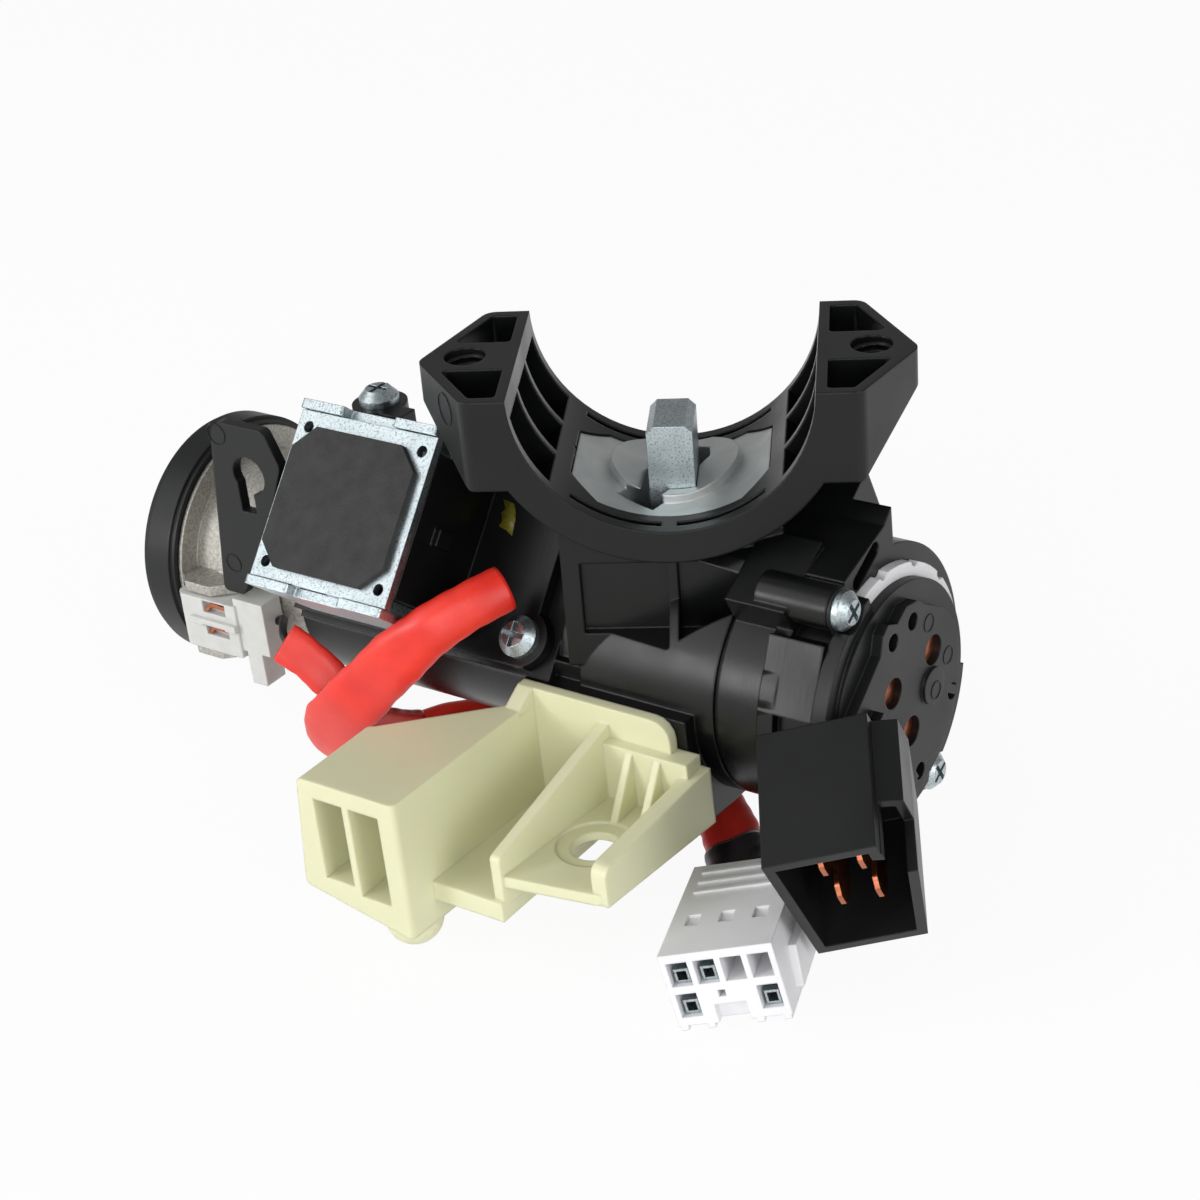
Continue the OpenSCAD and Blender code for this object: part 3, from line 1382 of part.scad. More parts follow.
module plug_housing() {
    half = plug_w / 2;
    foot = -plug_h / 2;
    color(WHITE)
        plug_frame()
            difference() {
                union() {
                    span([-half, 0, foot], [half, plug_len, plug_h / 2]);
                    // Grip ribs across the top, feet under the mouth and the latch rail on the right
                    for (y = GRIP_RIBS)
                        span([2 - half, plug_len - y, plug_h / 2 - 0.1], [half - 2, plug_len - y + 1, plug_h / 2 + 0.4]);
                    for (x = PLUG_FEET)
                        span([x - 0.6, 0, foot - 0.8], [x + 0.6, plug_len - 8, foot + 0.1]);
                    translate([half - 0.1, 0, 0])
                        rotate([90, 0, 90])
                            linear_extrude(1.4)
                                polygon([[5, foot + 1.5], [7, 1.5], [plug_len - 6, 1.5],
                                    [plug_len - 4, foot + 1.5]]);
                }
                for (c = PLUG_CAVITIES)
                    span([c.x - CAVITY_W / 2, -1, c.y - CAVITY_H / 2],
                        [c.x + CAVITY_W / 2, 14, c.y + CAVITY_H / 2]);
                // Windows over the catches of the upper row
                for (x = WINDOWS)
                    span([x - 1.1, 8.5, plug_h / 2 - 0.5], [x + 1.1, 11.5, plug_h / 2 + 1]);
                // Blank middle of the lower row: a test hole over an open recess
                span([-1.4, -1, -1.9], [-0.2, 6, -0.7]);
                span([-2.6, -1, foot - 1], [2.6, 1.6, -3.2]);
            }
}

module plug_terminals() {
    color(STEEL)
        plug_frame()
            for (i = PLUG_FILLED)
                difference() {
                    span([PLUG_CAVITIES[i].x - 1.2, 1, PLUG_CAVITIES[i].y - CAVITY_H / 2],
                        [PLUG_CAVITIES[i].x + 1.2, 13.9, PLUG_CAVITIES[i].y + 0.4]);
                    span([PLUG_CAVITIES[i].x - 0.8, 0, PLUG_CAVITIES[i].y - CAVITY_H / 2 + 0.5],
                        [PLUG_CAVITIES[i].x + 0.8, 10, PLUG_CAVITIES[i].y]);
                }
}

lock_housing();
bolt_guide();
lock_bolt();
bolt_slider();
bolt_spring();
camshaft();
cylinder_sleeve();
key_plug();
wafers();
bezel_ring();
reminder_body();
reminder_contacts();
reminder_plunger();
reminder_spring();
clip_arm();
solenoid_case();
solenoid_yoke();
solenoid_plate();
foam_pad();
coil_bobbin();
coil_winding();
interlock_plunger();
plunger_spring();
solenoid_screws();
switch_case();
contact_carrier();
switch_base();
switch_rotor();
contact_bridge();
contact_rivets();
socket_blades();
switch_screws();
harness_bracket();
solenoid_lead();
reminder_lead();
lead_wires();
plug_housing();
plug_terminals();
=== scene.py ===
import math
import bpy
import bmesh
from mathutils import Matrix, Vector


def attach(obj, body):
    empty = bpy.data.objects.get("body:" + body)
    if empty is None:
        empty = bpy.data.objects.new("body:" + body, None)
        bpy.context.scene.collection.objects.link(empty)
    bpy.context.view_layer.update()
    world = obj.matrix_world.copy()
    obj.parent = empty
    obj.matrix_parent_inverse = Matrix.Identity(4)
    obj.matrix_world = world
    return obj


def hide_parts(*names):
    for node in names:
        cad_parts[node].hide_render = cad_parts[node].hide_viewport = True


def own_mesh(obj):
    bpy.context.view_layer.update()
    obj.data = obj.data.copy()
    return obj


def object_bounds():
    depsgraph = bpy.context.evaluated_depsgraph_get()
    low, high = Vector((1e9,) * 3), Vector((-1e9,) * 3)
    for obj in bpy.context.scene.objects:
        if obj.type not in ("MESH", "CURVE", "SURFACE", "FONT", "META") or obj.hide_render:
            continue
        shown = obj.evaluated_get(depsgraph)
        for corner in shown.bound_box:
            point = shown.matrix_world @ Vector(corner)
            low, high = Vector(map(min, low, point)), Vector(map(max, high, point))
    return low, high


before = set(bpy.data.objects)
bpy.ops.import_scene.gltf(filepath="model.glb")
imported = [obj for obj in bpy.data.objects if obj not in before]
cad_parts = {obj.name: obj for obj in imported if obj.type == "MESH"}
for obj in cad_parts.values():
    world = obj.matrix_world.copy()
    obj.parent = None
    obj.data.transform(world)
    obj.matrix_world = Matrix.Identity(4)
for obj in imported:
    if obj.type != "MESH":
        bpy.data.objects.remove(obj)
cad_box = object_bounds()
scene = bpy.context.scene
scene.view_settings.view_transform = "Standard"

# Camera: a long lens, close to the bench, looking down at the harness side of
# the lock. The column bore's centre is the origin of the whole assembly.
MM = 0.001
PHOTO_PX = 1200
FOCAL_PX = 2662.3
SENSOR_MM = 36.0
EYE = Vector((36.877, -386.19, 174.269)) * MM
EYE_RIGHT = Vector((0.9933, 0.0888, -0.0737))
EYE_BACK = Vector((0.1137, -0.8630, 0.4922))
lens_data = bpy.data.cameras.new("studio_camera")
lens_data.sensor_width = SENSOR_MM
lens_data.lens = FOCAL_PX / PHOTO_PX * SENSOR_MM
lens_data.clip_start, lens_data.clip_end = 0.01, 20.0
camera = bpy.data.objects.new("studio_camera", lens_data)
scene.collection.objects.link(camera)
eye_back = EYE_BACK.normalized()
eye_right = (EYE_RIGHT - eye_back * EYE_RIGHT.dot(eye_back)).normalized()
eye_up = eye_back.cross(eye_right)
eye_turn = Matrix((eye_right, eye_up, eye_back)).transposed().to_4x4()
camera.matrix_world = Matrix.Translation(EYE) @ eye_turn
scene.camera = camera


# Leads: two soft red sleeves over the wires, one from the solenoid round behind
# the bracket to the plug, one from the key reminder switch that joins it.
# Extruded PVC sleeving, slipped over the wires, cut square and left open.
def linear(code):
    """An sRGB hex value as linear RGBA."""
    parts = [int(code[i:i + 2], 16) / 255 for i in (1, 3, 5)]
    return (*[c / 12.92 if c <= 0.04045 else ((c + 0.055) / 1.055) ** 2.4 for c in parts], 1.0)


def add(tree, kind, feeds=(), **settings):
    """Adds a shader node. feeds pairs an input with a value or with another node's output."""
    made = tree.nodes.new("ShaderNode" + kind)
    for key, value in settings.items():
        setattr(made, key, value)
    for key, value in dict(feeds).items():
        if isinstance(value, bpy.types.NodeSocket):
            tree.links.new(value, made.inputs[key])
        else:
            made.inputs[key].default_value = value
    return made


def new_material(name):
    """A material with only its output, its tree, and the surface's own place in metres."""
    made = bpy.data.materials.new(name)
    made.use_nodes = True
    tree = made.node_tree
    tree.nodes.clear()
    tree.nodes.new("ShaderNodeOutputMaterial")
    return made, tree, add(tree, "TexCoord").outputs["Object"]


def surface(tree, feeds, bump, strength=0.3, depth=0.1 * MM, edge=0.0):
    """The Principled shader that ends a material, with a bump and, where asked, rounded edges."""
    feeds = dict(feeds)
    relief = {"Strength": strength, "Distance": depth, "Height": bump}
    if edge:
        relief["Normal"] = add(tree, "Bevel", {"Radius": edge}, samples=6).outputs[0]
    feeds["Normal"] = add(tree, "Bump", relief).outputs[0]
    shader = add(tree, "BsdfPrincipled", feeds)
    tree.links.new(shader.outputs[0], tree.nodes["Material Output"].inputs["Surface"])


# Soft PVC sleeving, extruded: an even strong red with a low sheen, a little
# light in its depth, a faintly uneven skin and dull rubbed patches.
pvc_sleeve, tree, place = new_material("pvc_sleeve_extruded")
patches = add(tree, "TexNoise", {"Vector": place, "Scale": 1 / (9 * MM), "Detail": 3.0}).outputs[0]
skin = add(tree, "TexNoise", {"Vector": place, "Scale": 1 / (1.6 * MM), "Detail": 2.0,
                              "Distortion": 0.6}).outputs[0]
tone = add(tree, "Mix", {0: patches, 6: linear("#c4160f"), 7: linear("#ee3a28")},
           data_type="RGBA").outputs[2]
gloss = add(tree, "MapRange", {"Value": patches, "To Min": 0.34, "To Max": 0.52}).outputs[0]
surface(tree, {"Base Color": tone, "Roughness": gloss, "IOR": 1.53, "Subsurface Weight": 0.12,
               "Subsurface Radius": (1.0, 0.2, 0.1), "Subsurface Scale": 1.2 * MM},
        skin, 0.25, 0.25 * MM)

LOCK_DROP = 55.0
LOCK_YAW = 30.0
LOCK_TILT = 2.0
lock = (Matrix.Translation((0, 0, -LOCK_DROP * MM)) @ Matrix.Rotation(math.radians(-LOCK_YAW), 4, "Z")
        @ Matrix.Rotation(math.radians(-LOCK_TILT), 4, "Y"))


def lock_point(p):
    """A place in mm along, away from and above the lock's axis, as metres in the part's frame."""
    return lock @ (Vector(p) * MM)


def smooth_line(points, per_span):
    """A Catmull-Rom line through the points."""
    ends = [points[0] * 2 - points[1], *points, points[-1] * 2 - points[-2]]
    made = []
    for a, b, c, d in zip(ends, ends[1:], ends[2:], ends[3:]):
        for k in range(per_span):
            t = k / per_span
            made.append(0.5 * (2 * b + (c - a) * t + (2 * a - 5 * b + 4 * c - d) * t * t
                               + (3 * b - a - 3 * c + d) * t * t * t))
    return [*made, points[-1].copy()]


def line_frames(line, lean):
    """Side and flat directions at each point of a line, carried along it without twist."""
    flat = Vector(lean)
    made = []
    for i, p in enumerate(line):
        way = (line[min(i + 1, len(line) - 1)] - line[max(i - 1, 0)]).normalized()
        flat = (flat - way * flat.dot(way)).normalized()
        made.append((p, flat.cross(way), flat))
    return made


def finish_mesh(name, made, material):
    """A linked object from a bmesh, smooth, with outward faces."""
    bmesh.ops.recalc_face_normals(made, faces=made.faces)
    data = bpy.data.meshes.new(name)
    made.to_mesh(data)
    made.free()
    data.shade_smooth()
    data.materials.append(material)
    piece = bpy.data.objects.new(name, data)
    scene.collection.objects.link(piece)
    return piece


def bridge(made, rings):
    """Quads between neighbouring rings of vertices."""
    for a, b in zip(rings, rings[1:]):
        for k in range(len(a)):
            made.faces.new((a[k], a[(k + 1) % len(a)], b[(k + 1) % len(a)], b[k]))


def sleeve(name, line, width, lean, presses, wall, depth, material):
    """A soft sleeve along a line, hollow for some way in from each open mouth.

    presses gives how round it stays, 1 round and 0 flat, at even steps of the line. Pressing it
    flat keeps its girth, so it gets wider there, and its middle sinks into a shallow valley. depth
    counts the steps of the line that the mouths are hollow for.
    """
    frames = line_frames(line, lean)
    sides = 28
    angles = [2 * math.pi * k / sides for k in range(sides)]
    count = len(frames)
    made = bmesh.new()

    def ring(i, inset):
        p, side, flat = frames[i]
        step = i / (count - 1) * (len(presses) - 1)
        near = min(int(step), len(presses) - 2)
        ease = 0.5 - 0.5 * math.cos(math.pi * (step - near))
        press = presses[near] + (presses[near + 1] - presses[near]) * ease
        broad = width / 2 * math.sqrt(2 / (1 + press ** 2)) - inset
        thin = width / 2 * math.sqrt(2 / (1 + press ** 2)) * press - inset
        # The wall is slack, with a slow and a quick wave along it.
        wave = 1 + 0.02 * math.sin(0.45 * i) + 0.012 * math.sin(1.1 * i)
        valley = 0.5 * (1 - press)
        points = [(math.cos(a), math.sin(a) * (1 - valley * math.exp(-(math.cos(a) / 0.5) ** 2)))
                  for a in angles]
        return [made.verts.new(p + side * broad * wave * x + flat * max(thin, wall / 2) * y)
                for x, y in points]

    start = [ring(i, wall) for i in range(depth, -1, -1)]
    outer = [ring(i, 0) for i in range(count)]
    finish = [ring(i, wall) for i in range(count - 1, count - 2 - depth, -1)]
    rings = [*start, *outer, *finish]
    bridge(made, rings)
    made.faces.new(rings[0])
    made.faces.new(rings[-1])
    return finish_mesh(name, made, material)


SLEEVE_D = 7.6
SLEEVE_WALL = 0.5
SLEEVE_LEAN = (0.2, -1, 0.4)
SLEEVE_MOUTH = 12
SLEEVE_PRESSES = [0.95, 0.8, 0.42, 0.24, 0.2, 0.3, 0.45, 0.5, 0.5, 0.5, 0.5, 0.5, 0.45, 0.4, 0.4]
SOLENOID_ROUTE = [(-19.5, -22, 17.5), (-23, -28, 16), (-27.5, -33, 13), (-33, -35.5, 8),
                  (-39.5, -36.5, 1.5), (-45, -37.2, -4), (-51.5, -35.4, -10.5), (-55.7, -32, -17.5),
                  (-57.5, -26.5, -23.5), (-57.5, -15.5, -28), (-54, -7.5, -27), (-48, -3, -26),
                  (-40, -1, -26), (-30, 0, -26), (-20, -1, -26), (-10, -2, -26.5), (0, -3, -27),
                  (6, -5, -27.5), (11, -8.5, -28), (15.8, -13.5, -28), (21, -19.5, -27.2),
                  (26.6, -25.1, -25.9)]
PER_SPAN = 10
solenoid_line = smooth_line([lock_point(p) for p in SOLENOID_ROUTE], PER_SPAN)
solenoid_sleeve = sleeve("solenoid_sleeve", solenoid_line, SLEEVE_D * MM, SLEEVE_LEAN, SLEEVE_PRESSES,
                         SLEEVE_WALL * MM, SLEEVE_MOUTH, pvc_sleeve)
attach(solenoid_sleeve, "housing")
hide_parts("solenoid_lead")

THIN_SLEEVE_D = 5.6
THIN_LEAN = (0.3, -1, 0.2)
THIN_MOUTH = 14
THIN_PRESSES = [0.35, 0.4, 0.5, 0.5, 0.5]
REMINDER_ROUTE = [(-67, -27.5, -1.5), (-62.5, -27, -4), (-58.5, -26.5, -7.5), (-56, -25.5, -11.5),
                  (-55, -22, -17), (-55, -16.5, -21), (-55, -11.5, -24)]
reminder_line = smooth_line([lock_point(p) for p in REMINDER_ROUTE], PER_SPAN)
reminder_sleeve = sleeve("reminder_sleeve", reminder_line, THIN_SLEEVE_D * MM, THIN_LEAN, THIN_PRESSES,
                         SLEEVE_WALL * MM, THIN_MOUTH, pvc_sleeve)
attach(reminder_sleeve, "housing")
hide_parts("reminder_lead")

# Reminder wire: a thin black insulated wire that comes out of the key reminder
# switch and turns into the open mouth of its sleeve. Extruded, dull, even.
wire_cover, tree, place = new_material("pvc_insulation_extruded")
patches = add(tree, "TexNoise", {"Vector": place, "Scale": 1 / (2 * MM), "Detail": 3.0}).outputs[0]
gloss = add(tree, "MapRange", {"Value": patches, "To Min": 0.35, "To Max": 0.55}).outputs[0]
surface(tree, {"Base Color": linear("#0f0f10"), "Roughness": gloss, "IOR": 1.53},
        patches, 0.2, 0.05 * MM)
WIRE_D = 1.5
WIRE_WALL = 0.3
WIRE_MOUTH = 2
ROUND = [1, 1]
WIRE_ROUTE = [(-75.6, -20, -3), (-74, -20.3, -2.1), (-72.2, -21.7, -1.1), (-70.3, -24, -0.6),
              (-68.3, -26.2, -0.8), (-66.2, -27.3, -1.8), (-64, -27.2, -3.1)]
wire_line = smooth_line([lock_point(p) for p in WIRE_ROUTE], PER_SPAN)
reminder_wire = sleeve("reminder_wire", wire_line, WIRE_D * MM, THIN_LEAN, ROUND, WIRE_WALL * MM,
                       WIRE_MOUTH, wire_cover)
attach(reminder_wire, "housing")
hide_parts("lead_wires")

# Tape: black vinyl tape wound over the end of the long sleeve, where the wires
# spread to the plug's six ways. Glossy and smooth, with a step at each turn.
vinyl_tape, tree, place = new_material("vinyl_tape_wound")
turns = add(tree, "TexWave", {"Vector": place, "Scale": 1 / (20 * MM), "Distortion": 1.5,
                              "Detail": 1.0}).outputs["Fac"]
gloss = add(tree, "MapRange", {"Value": turns, "To Min": 0.22, "To Max": 0.38}).outputs[0]
surface(tree, {"Base Color": linear("#0c0c0d"), "Roughness": gloss, "IOR": 1.53},
        turns, 0.3, 0.15 * MM)
TAPE_SPANS = 2
TAPE_PROUD = 0.7
TAPE_MOUTH = 4
TAPE_PRESSES = [0.42, 0.42]
tape_start = -TAPE_SPANS * PER_SPAN - 1
tape_lean = line_frames(solenoid_line, SLEEVE_LEAN)[tape_start][-1]
plug_tape = sleeve("plug_tape", solenoid_line[tape_start:], (SLEEVE_D + TAPE_PROUD) * MM, tape_lean,
                   TAPE_PRESSES, SLEEVE_WALL * MM, TAPE_MOUTH, vinyl_tape)
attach(plug_tape, "housing")


# Lock housing: one large moulding with the column saddle, the neck, the drum
# and the seats for the solenoid and switch. Black glass-filled nylon, moulded.
def dress(material, *nodes):
    """Gives solids their finish."""
    for node in nodes:
        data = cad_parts[node].data
        data.materials.clear()
        data.materials.append(material)


def moulded_black(name, dark, pale, rough_low, rough_high, streak_mm, relief, edge_mm):
    """Black moulding: flow patches change its gloss, the tool's fine lines run round the lock."""
    made, tree, place = new_material(name)
    flow = add(tree, "TexNoise", {"Vector": place, "Scale": 1 / (14 * MM), "Detail": 4.0}).outputs[0]
    along = add(tree, "Mapping", {"Vector": place, "Rotation": lock.to_euler(),
                                  "Scale": (streak_mm * MM, 7 * MM, 7 * MM)},
                vector_type="TEXTURE").outputs[0]
    streaks = add(tree, "TexNoise", {"Vector": along, "Scale": 1.0, "Detail": 2.0}).outputs[0]
    tone = add(tree, "Mix", {0: flow, 6: linear(dark), 7: linear(pale)},
               data_type="RGBA").outputs[2]
    gloss = add(tree, "MapRange", {"Value": flow, "From Min": 0.3, "From Max": 0.7,
                                   "To Min": rough_low, "To Max": rough_high}).outputs[0]
    surface(tree, {"Base Color": tone, "Roughness": gloss, "IOR": 1.5, "Specular IOR Level": 0.32},
            streaks, relief, 0.04 * MM, edge_mm * MM)
    return made


# Glass-filled nylon, moulded: deep black with a low sheen and fine drag lines.
nylon_black = moulded_black("glass_filled_nylon_moulded", "#070808", "#0e0f0f",
                            0.26, 0.4, 0.3, 0.35, 0.5)
dress(nylon_black, "lock_housing")

# Threads of the two clamp bolts in the saddle's pads, cut with a tap: a ridge
# with a sharp crest that winds down the hole's wall.
HOLE_R = 3.4
HOLE_X = 32.5
HOLE_TOP = -1.1
PITCH = 1.25
THREAD_TURNS = 8
THREAD_STEPS = 24
# Radius and height of the ridge's upper foot, crest and lower foot.
THREAD_PROFILE = ((HOLE_R + 0.05, 0), (HOLE_R - 0.55, -0.47 * PITCH), (HOLE_R + 0.05, -0.94 * PITCH))
for label, x in (("left", -HOLE_X), ("right", HOLE_X)):
    made = bmesh.new()
    rings = []
    for k in range(THREAD_TURNS * THREAD_STEPS + 1):
        turn = 2 * math.pi * k / THREAD_STEPS
        out = Vector((math.cos(turn), math.sin(turn), 0))
        foot = Vector((x, 0, HOLE_TOP - PITCH * k / THREAD_STEPS))
        rings.append([made.verts.new((foot + out * r + Vector((0, 0, z))) * MM)
                      for r, z in THREAD_PROFILE])
    bridge(made, rings)
    made.faces.new(rings[0])
    made.faces.new(rings[-1])
    thread = finish_mesh("clamp_thread_" + label, made, nylon_black)
    thread.data.shade_flat()
    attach(thread, "housing")

# Ejector marks: the round pins that push a moulding out of its tool leave a
# thin raised ring of flash in the face that they bear on.
MARK_STEPS = 32
MARK_PROFILE = ((-0.15, -0.05), (0.15, -0.05), (0.05, 0.12), (-0.05, 0.12))


def ejector_mark(name, where, facing, radius, material):
    """A ring of flash in mm in the part's frame, on a face that faces the given way."""
    up = Vector(facing).normalized()
    across = up.orthogonal().normalized()
    other = up.cross(across)
    made = bmesh.new()
    rings = []
    for k in range(MARK_STEPS + 1):
        turn = 2 * math.pi * k / MARK_STEPS
        out = across * math.cos(turn) + other * math.sin(turn)
        rings.append([made.verts.new((Vector(where) + out * (radius + r) + up * h) * MM)
                      for r, h in MARK_PROFILE])
    bridge(made, rings)
    bmesh.ops.remove_doubles(made, verts=made.verts, dist=0.001 * MM)
    mark = finish_mesh(name, made, material)
    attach(mark, "housing")


ejector_mark("ejector_mark_pillar", (-34.5, -11.28, -4.34), (-0.872, -0.49, 0), 2.7, nylon_black)

# Bolt guide and lock bolt: the guide is a die-cast plate let into the floor of
# the saddle, the bolt slides through it into the column. Zinc plating on steel
# is pale and bluish, cloudy, with dark specks where it is thin.
zinc_plate, tree, place = new_material("zinc_plated_steel")
cloud = add(tree, "TexNoise", {"Vector": place, "Scale": 1 / (4 * MM), "Detail": 5.0}).outputs[0]
speck = add(tree, "TexNoise", {"Vector": place, "Scale": 1 / (0.35 * MM), "Detail": 3.0}).outputs[0]
bare = add(tree, "MapRange", {"Value": speck, "From Min": 0.5, "From Max": 0.7}).outputs[0]
clean = add(tree, "Mix", {0: cloud, 6: linear("#9ba6aa"), 7: linear("#d2dcdf")},
            data_type="RGBA").outputs[2]
tone = add(tree, "Mix", {0: bare, 6: clean, 7: linear("#7d878a")}, data_type="RGBA").outputs[2]
gloss = add(tree, "MapRange", {"Value": cloud, "To Min": 0.28, "To Max": 0.5}).outputs[0]
surface(tree, {"Base Color": tone, "Metallic": 1.0, "Roughness": gloss},
        speck, 0.15, 0.05 * MM, 0.2 * MM)

# Zinc die casting: grey and dull, mottled where the skin chilled, finely rough.
die_cast, tree, place = new_material("zinc_die_cast")
cloud = add(tree, "TexNoise", {"Vector": place, "Scale": 1 / (7 * MM), "Detail": 6.0,
                               "Distortion": 0.8}).outputs[0]
skin = add(tree, "TexNoise", {"Vector": place, "Scale": 1 / (0.35 * MM), "Detail": 2.0}).outputs[0]
tone = add(tree, "Mix", {0: cloud, 6: linear("#b2b7b7"), 7: linear("#e2e5e4")},
           data_type="RGBA").outputs[2]
gloss = add(tree, "MapRange", {"Value": cloud, "To Min": 0.4, "To Max": 0.6}).outputs[0]
surface(tree, {"Base Color": tone, "Metallic": 1.0, "Roughness": gloss},
        skin, 0.3, 0.06 * MM, 0.5 * MM)

dress(die_cast, "bolt_guide", "bolt_slider", "camshaft")
dress(zinc_plate, "lock_bolt")

# Lock cylinder: a stepped die-cast sleeve with the key plug and its wafers in
# it, and a black bezel ring of moulded polypropylene on its front, which is a
# softer black than the housing, with a dull sheen.
bezel_black = moulded_black("polypropylene_moulded", "#111212", "#1a1c1b", 0.36, 0.5, 0.5, 0.2, 0.5)
dress(bezel_black, "bezel_ring")

# Zinc casting, tumbled in grit: a warm dull grey with a sandy skin, darker in
# its hollows and without any clear reflection.
tumbled_zinc, tree, place = new_material("zinc_die_cast_grit_tumbled")
cloud = add(tree, "TexNoise", {"Vector": place, "Scale": 1 / (5 * MM), "Detail": 6.0}).outputs[0]
grit = add(tree, "TexNoise", {"Vector": place, "Scale": 1 / (0.5 * MM), "Detail": 3.0}).outputs[0]
worn = add(tree, "MapRange", {"Value": grit, "From Min": 0.35, "From Max": 0.65}).outputs[0]
clean = add(tree, "Mix", {0: cloud, 6: linear("#b9b7b0"), 7: linear("#d8d5ce")},
            data_type="RGBA").outputs[2]
tone = add(tree, "Mix", {0: worn, 6: linear("#a6a49d"), 7: clean}, data_type="RGBA").outputs[2]
gloss = add(tree, "MapRange", {"Value": grit, "To Min": 0.55, "To Max": 0.75}).outputs[0]
surface(tree, {"Base Color": tone, "Metallic": 1.0, "Roughness": gloss},
        grit, 0.45, 0.1 * MM, 0.4 * MM)
dress(tumbled_zinc, "cylinder_sleeve", "key_plug")

# Brass wafers, stamped from strip: yellow and bright, faintly mottled.
brass, tree, place = new_material("brass_strip_stamped")
cloud = add(tree, "TexNoise", {"Vector": place, "Scale": 1 / (1.2 * MM), "Detail": 4.0}).outputs[0]
tone = add(tree, "Mix", {0: cloud, 6: linear("#a98a45"), 7: linear("#d1b56c")},
           data_type="RGBA").outputs[2]
gloss = add(tree, "MapRange", {"Value": cloud, "To Min": 0.24, "To Max": 0.42}).outputs[0]
surface(tree, {"Base Color": tone, "Metallic": 1.0, "Roughness": gloss},
        cloud, 0.1, 0.05 * MM, 0.1 * MM)
dress(brass, "wafers")

# Key reminder switch: a small white switch between two ears of the sleeve, with
# bent contacts in its open side and a plunger that the key pushes. The contacts
# are stamped copper, left bare: brown where it has dulled, pink where it is clean.
copper, tree, place = new_material("copper_stamped")
cloud = add(tree, "TexNoise", {"Vector": place, "Scale": 1 / (1.5 * MM), "Detail": 4.0}).outputs[0]
tone = add(tree, "Mix", {0: cloud, 6: linear("#8d4a33"), 7: linear("#d98a66")},
           data_type="RGBA").outputs[2]
gloss = add(tree, "MapRange", {"Value": cloud, "To Min": 0.22, "To Max": 0.42}).outputs[0]
surface(tree, {"Base Color": tone, "Metallic": 1.0, "Roughness": gloss},
        cloud, 0.1, 0.05 * MM, 0.15 * MM)

# Undyed nylon, moulded: a cool greyish white that lets light in at its edges.
milky_nylon, tree, place = new_material("undyed_nylon_moulded")
cloud = add(tree, "TexNoise", {"Vector": place, "Scale": 1 / (3 * MM), "Detail": 4.0}).outputs[0]
tone = add(tree, "Mix", {0: cloud, 6: linear("#bcbdba"), 7: linear("#d0d1ce")},
           data_type="RGBA").outputs[2]
gloss = add(tree, "MapRange", {"Value": cloud, "To Min": 0.3, "To Max": 0.45}).outputs[0]
surface(tree, {"Base Color": tone, "Roughness": gloss, "IOR": 1.53, "Subsurface Weight": 0.35,
               "Subsurface Radius": (1.0, 1.0, 0.95), "Subsurface Scale": 1.5 * MM},
        cloud, 0.15, 0.08 * MM, 0.35 * MM)

dress(milky_nylon, "reminder_body", "reminder_plunger")
dress(copper, "reminder_contacts")
dress(bezel_black, "clip_arm")
ARM_FACING = (-0.5, -0.866, 0)
ejector_mark("ejector_mark_arm_top", (-81.28, 20.94, -23.24), ARM_FACING, 2.0, bezel_black)
ejector_mark("ejector_mark_arm_foot", (-81.88, 21.3, -49.03), ARM_FACING, 1.7, bezel_black)

# Interlock solenoid: a black case with a plated yoke, a plated cover with a
# foam pad stuck on it, and a coil with its plunger and spring inside. The foam
# is closed-cell, cut from sheet: dull and near black, with small cells.
foam, tree, place = new_material("closed_cell_foam")
cells = add(tree, "TexVoronoi", {"Vector": place, "Scale": 1 / (0.45 * MM)}).outputs["Distance"]
cloud = add(tree, "TexNoise", {"Vector": place, "Scale": 1 / (3 * MM), "Detail": 5.0}).outputs[0]
tone = add(tree, "Mix", {0: cloud, 6: linear("#2d2e2d"), 7: linear("#434443")},
           data_type="RGBA").outputs[2]
surface(tree, {"Base Color": tone, "Roughness": 0.9, "Specular IOR Level": 0.25},
        cells, 0.5, 0.15 * MM)

dress(nylon_black, "solenoid_case")
dress(zinc_plate, "solenoid_yoke", "solenoid_plate", "interlock_plunger", "solenoid_screws")
dress(foam, "foam_pad")
dress(bezel_black, "coil_bobbin")
dress(copper, "coil_winding")

# Inspection mark: a short dab of yellow paint on the case, put on by hand with
# a stick when the solenoid has been tested. Thin, ragged and half dry; its
# yellow is painted dark, as painted shade for the shadow the dab lies in.
test_paint, tree, place = new_material("yellow_marking_paint")
thick = add(tree, "TexNoise", {"Vector": place, "Scale": 1 / (0.8 * MM), "Detail": 4.0}).outputs[0]
# Both yellows are darkened: painted shade, not the paint's own colour.
tone = add(tree, "Mix", {0: thick, 6: linear("#37350a"), 7: linear("#857f24")},
           data_type="RGBA").outputs[2]
surface(tree, {"Base Color": tone, "Roughness": 0.45}, thick, 0.4, 0.1 * MM)
DAB = [(-2.5, 1.8), (-0.1, 1.5), (0.7, 0.2), (1.2, -1.2), (1.5, -4.0), (0.1, -3.3), (-1.7, -2.9),
       (-1.4, -1.8), (-2.0, -0.6), (-1.5, 0.3)]
DAB_SINK, DAB_RISE = -0.05, 0.06
DAB_AT = Vector((-28.72, 7.97, -33.08))
DAB_FACING = Vector((-0.3998, -0.6472, 0.6491))
dab_side = lock.to_3x3() @ Vector((1, 0, 0))
dab_up = DAB_FACING.cross(dab_side)
made = bmesh.new()
rings = [[made.verts.new((DAB_AT + dab_side * x + dab_up * y + DAB_FACING * h) * MM) for x, y in DAB]
         for h in (DAB_SINK, DAB_RISE)]
bridge(made, rings)
made.faces.new(rings[0])
made.faces.new(rings[1])
paint_dab = finish_mesh("paint_dab", made, test_paint)
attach(paint_dab, "housing")
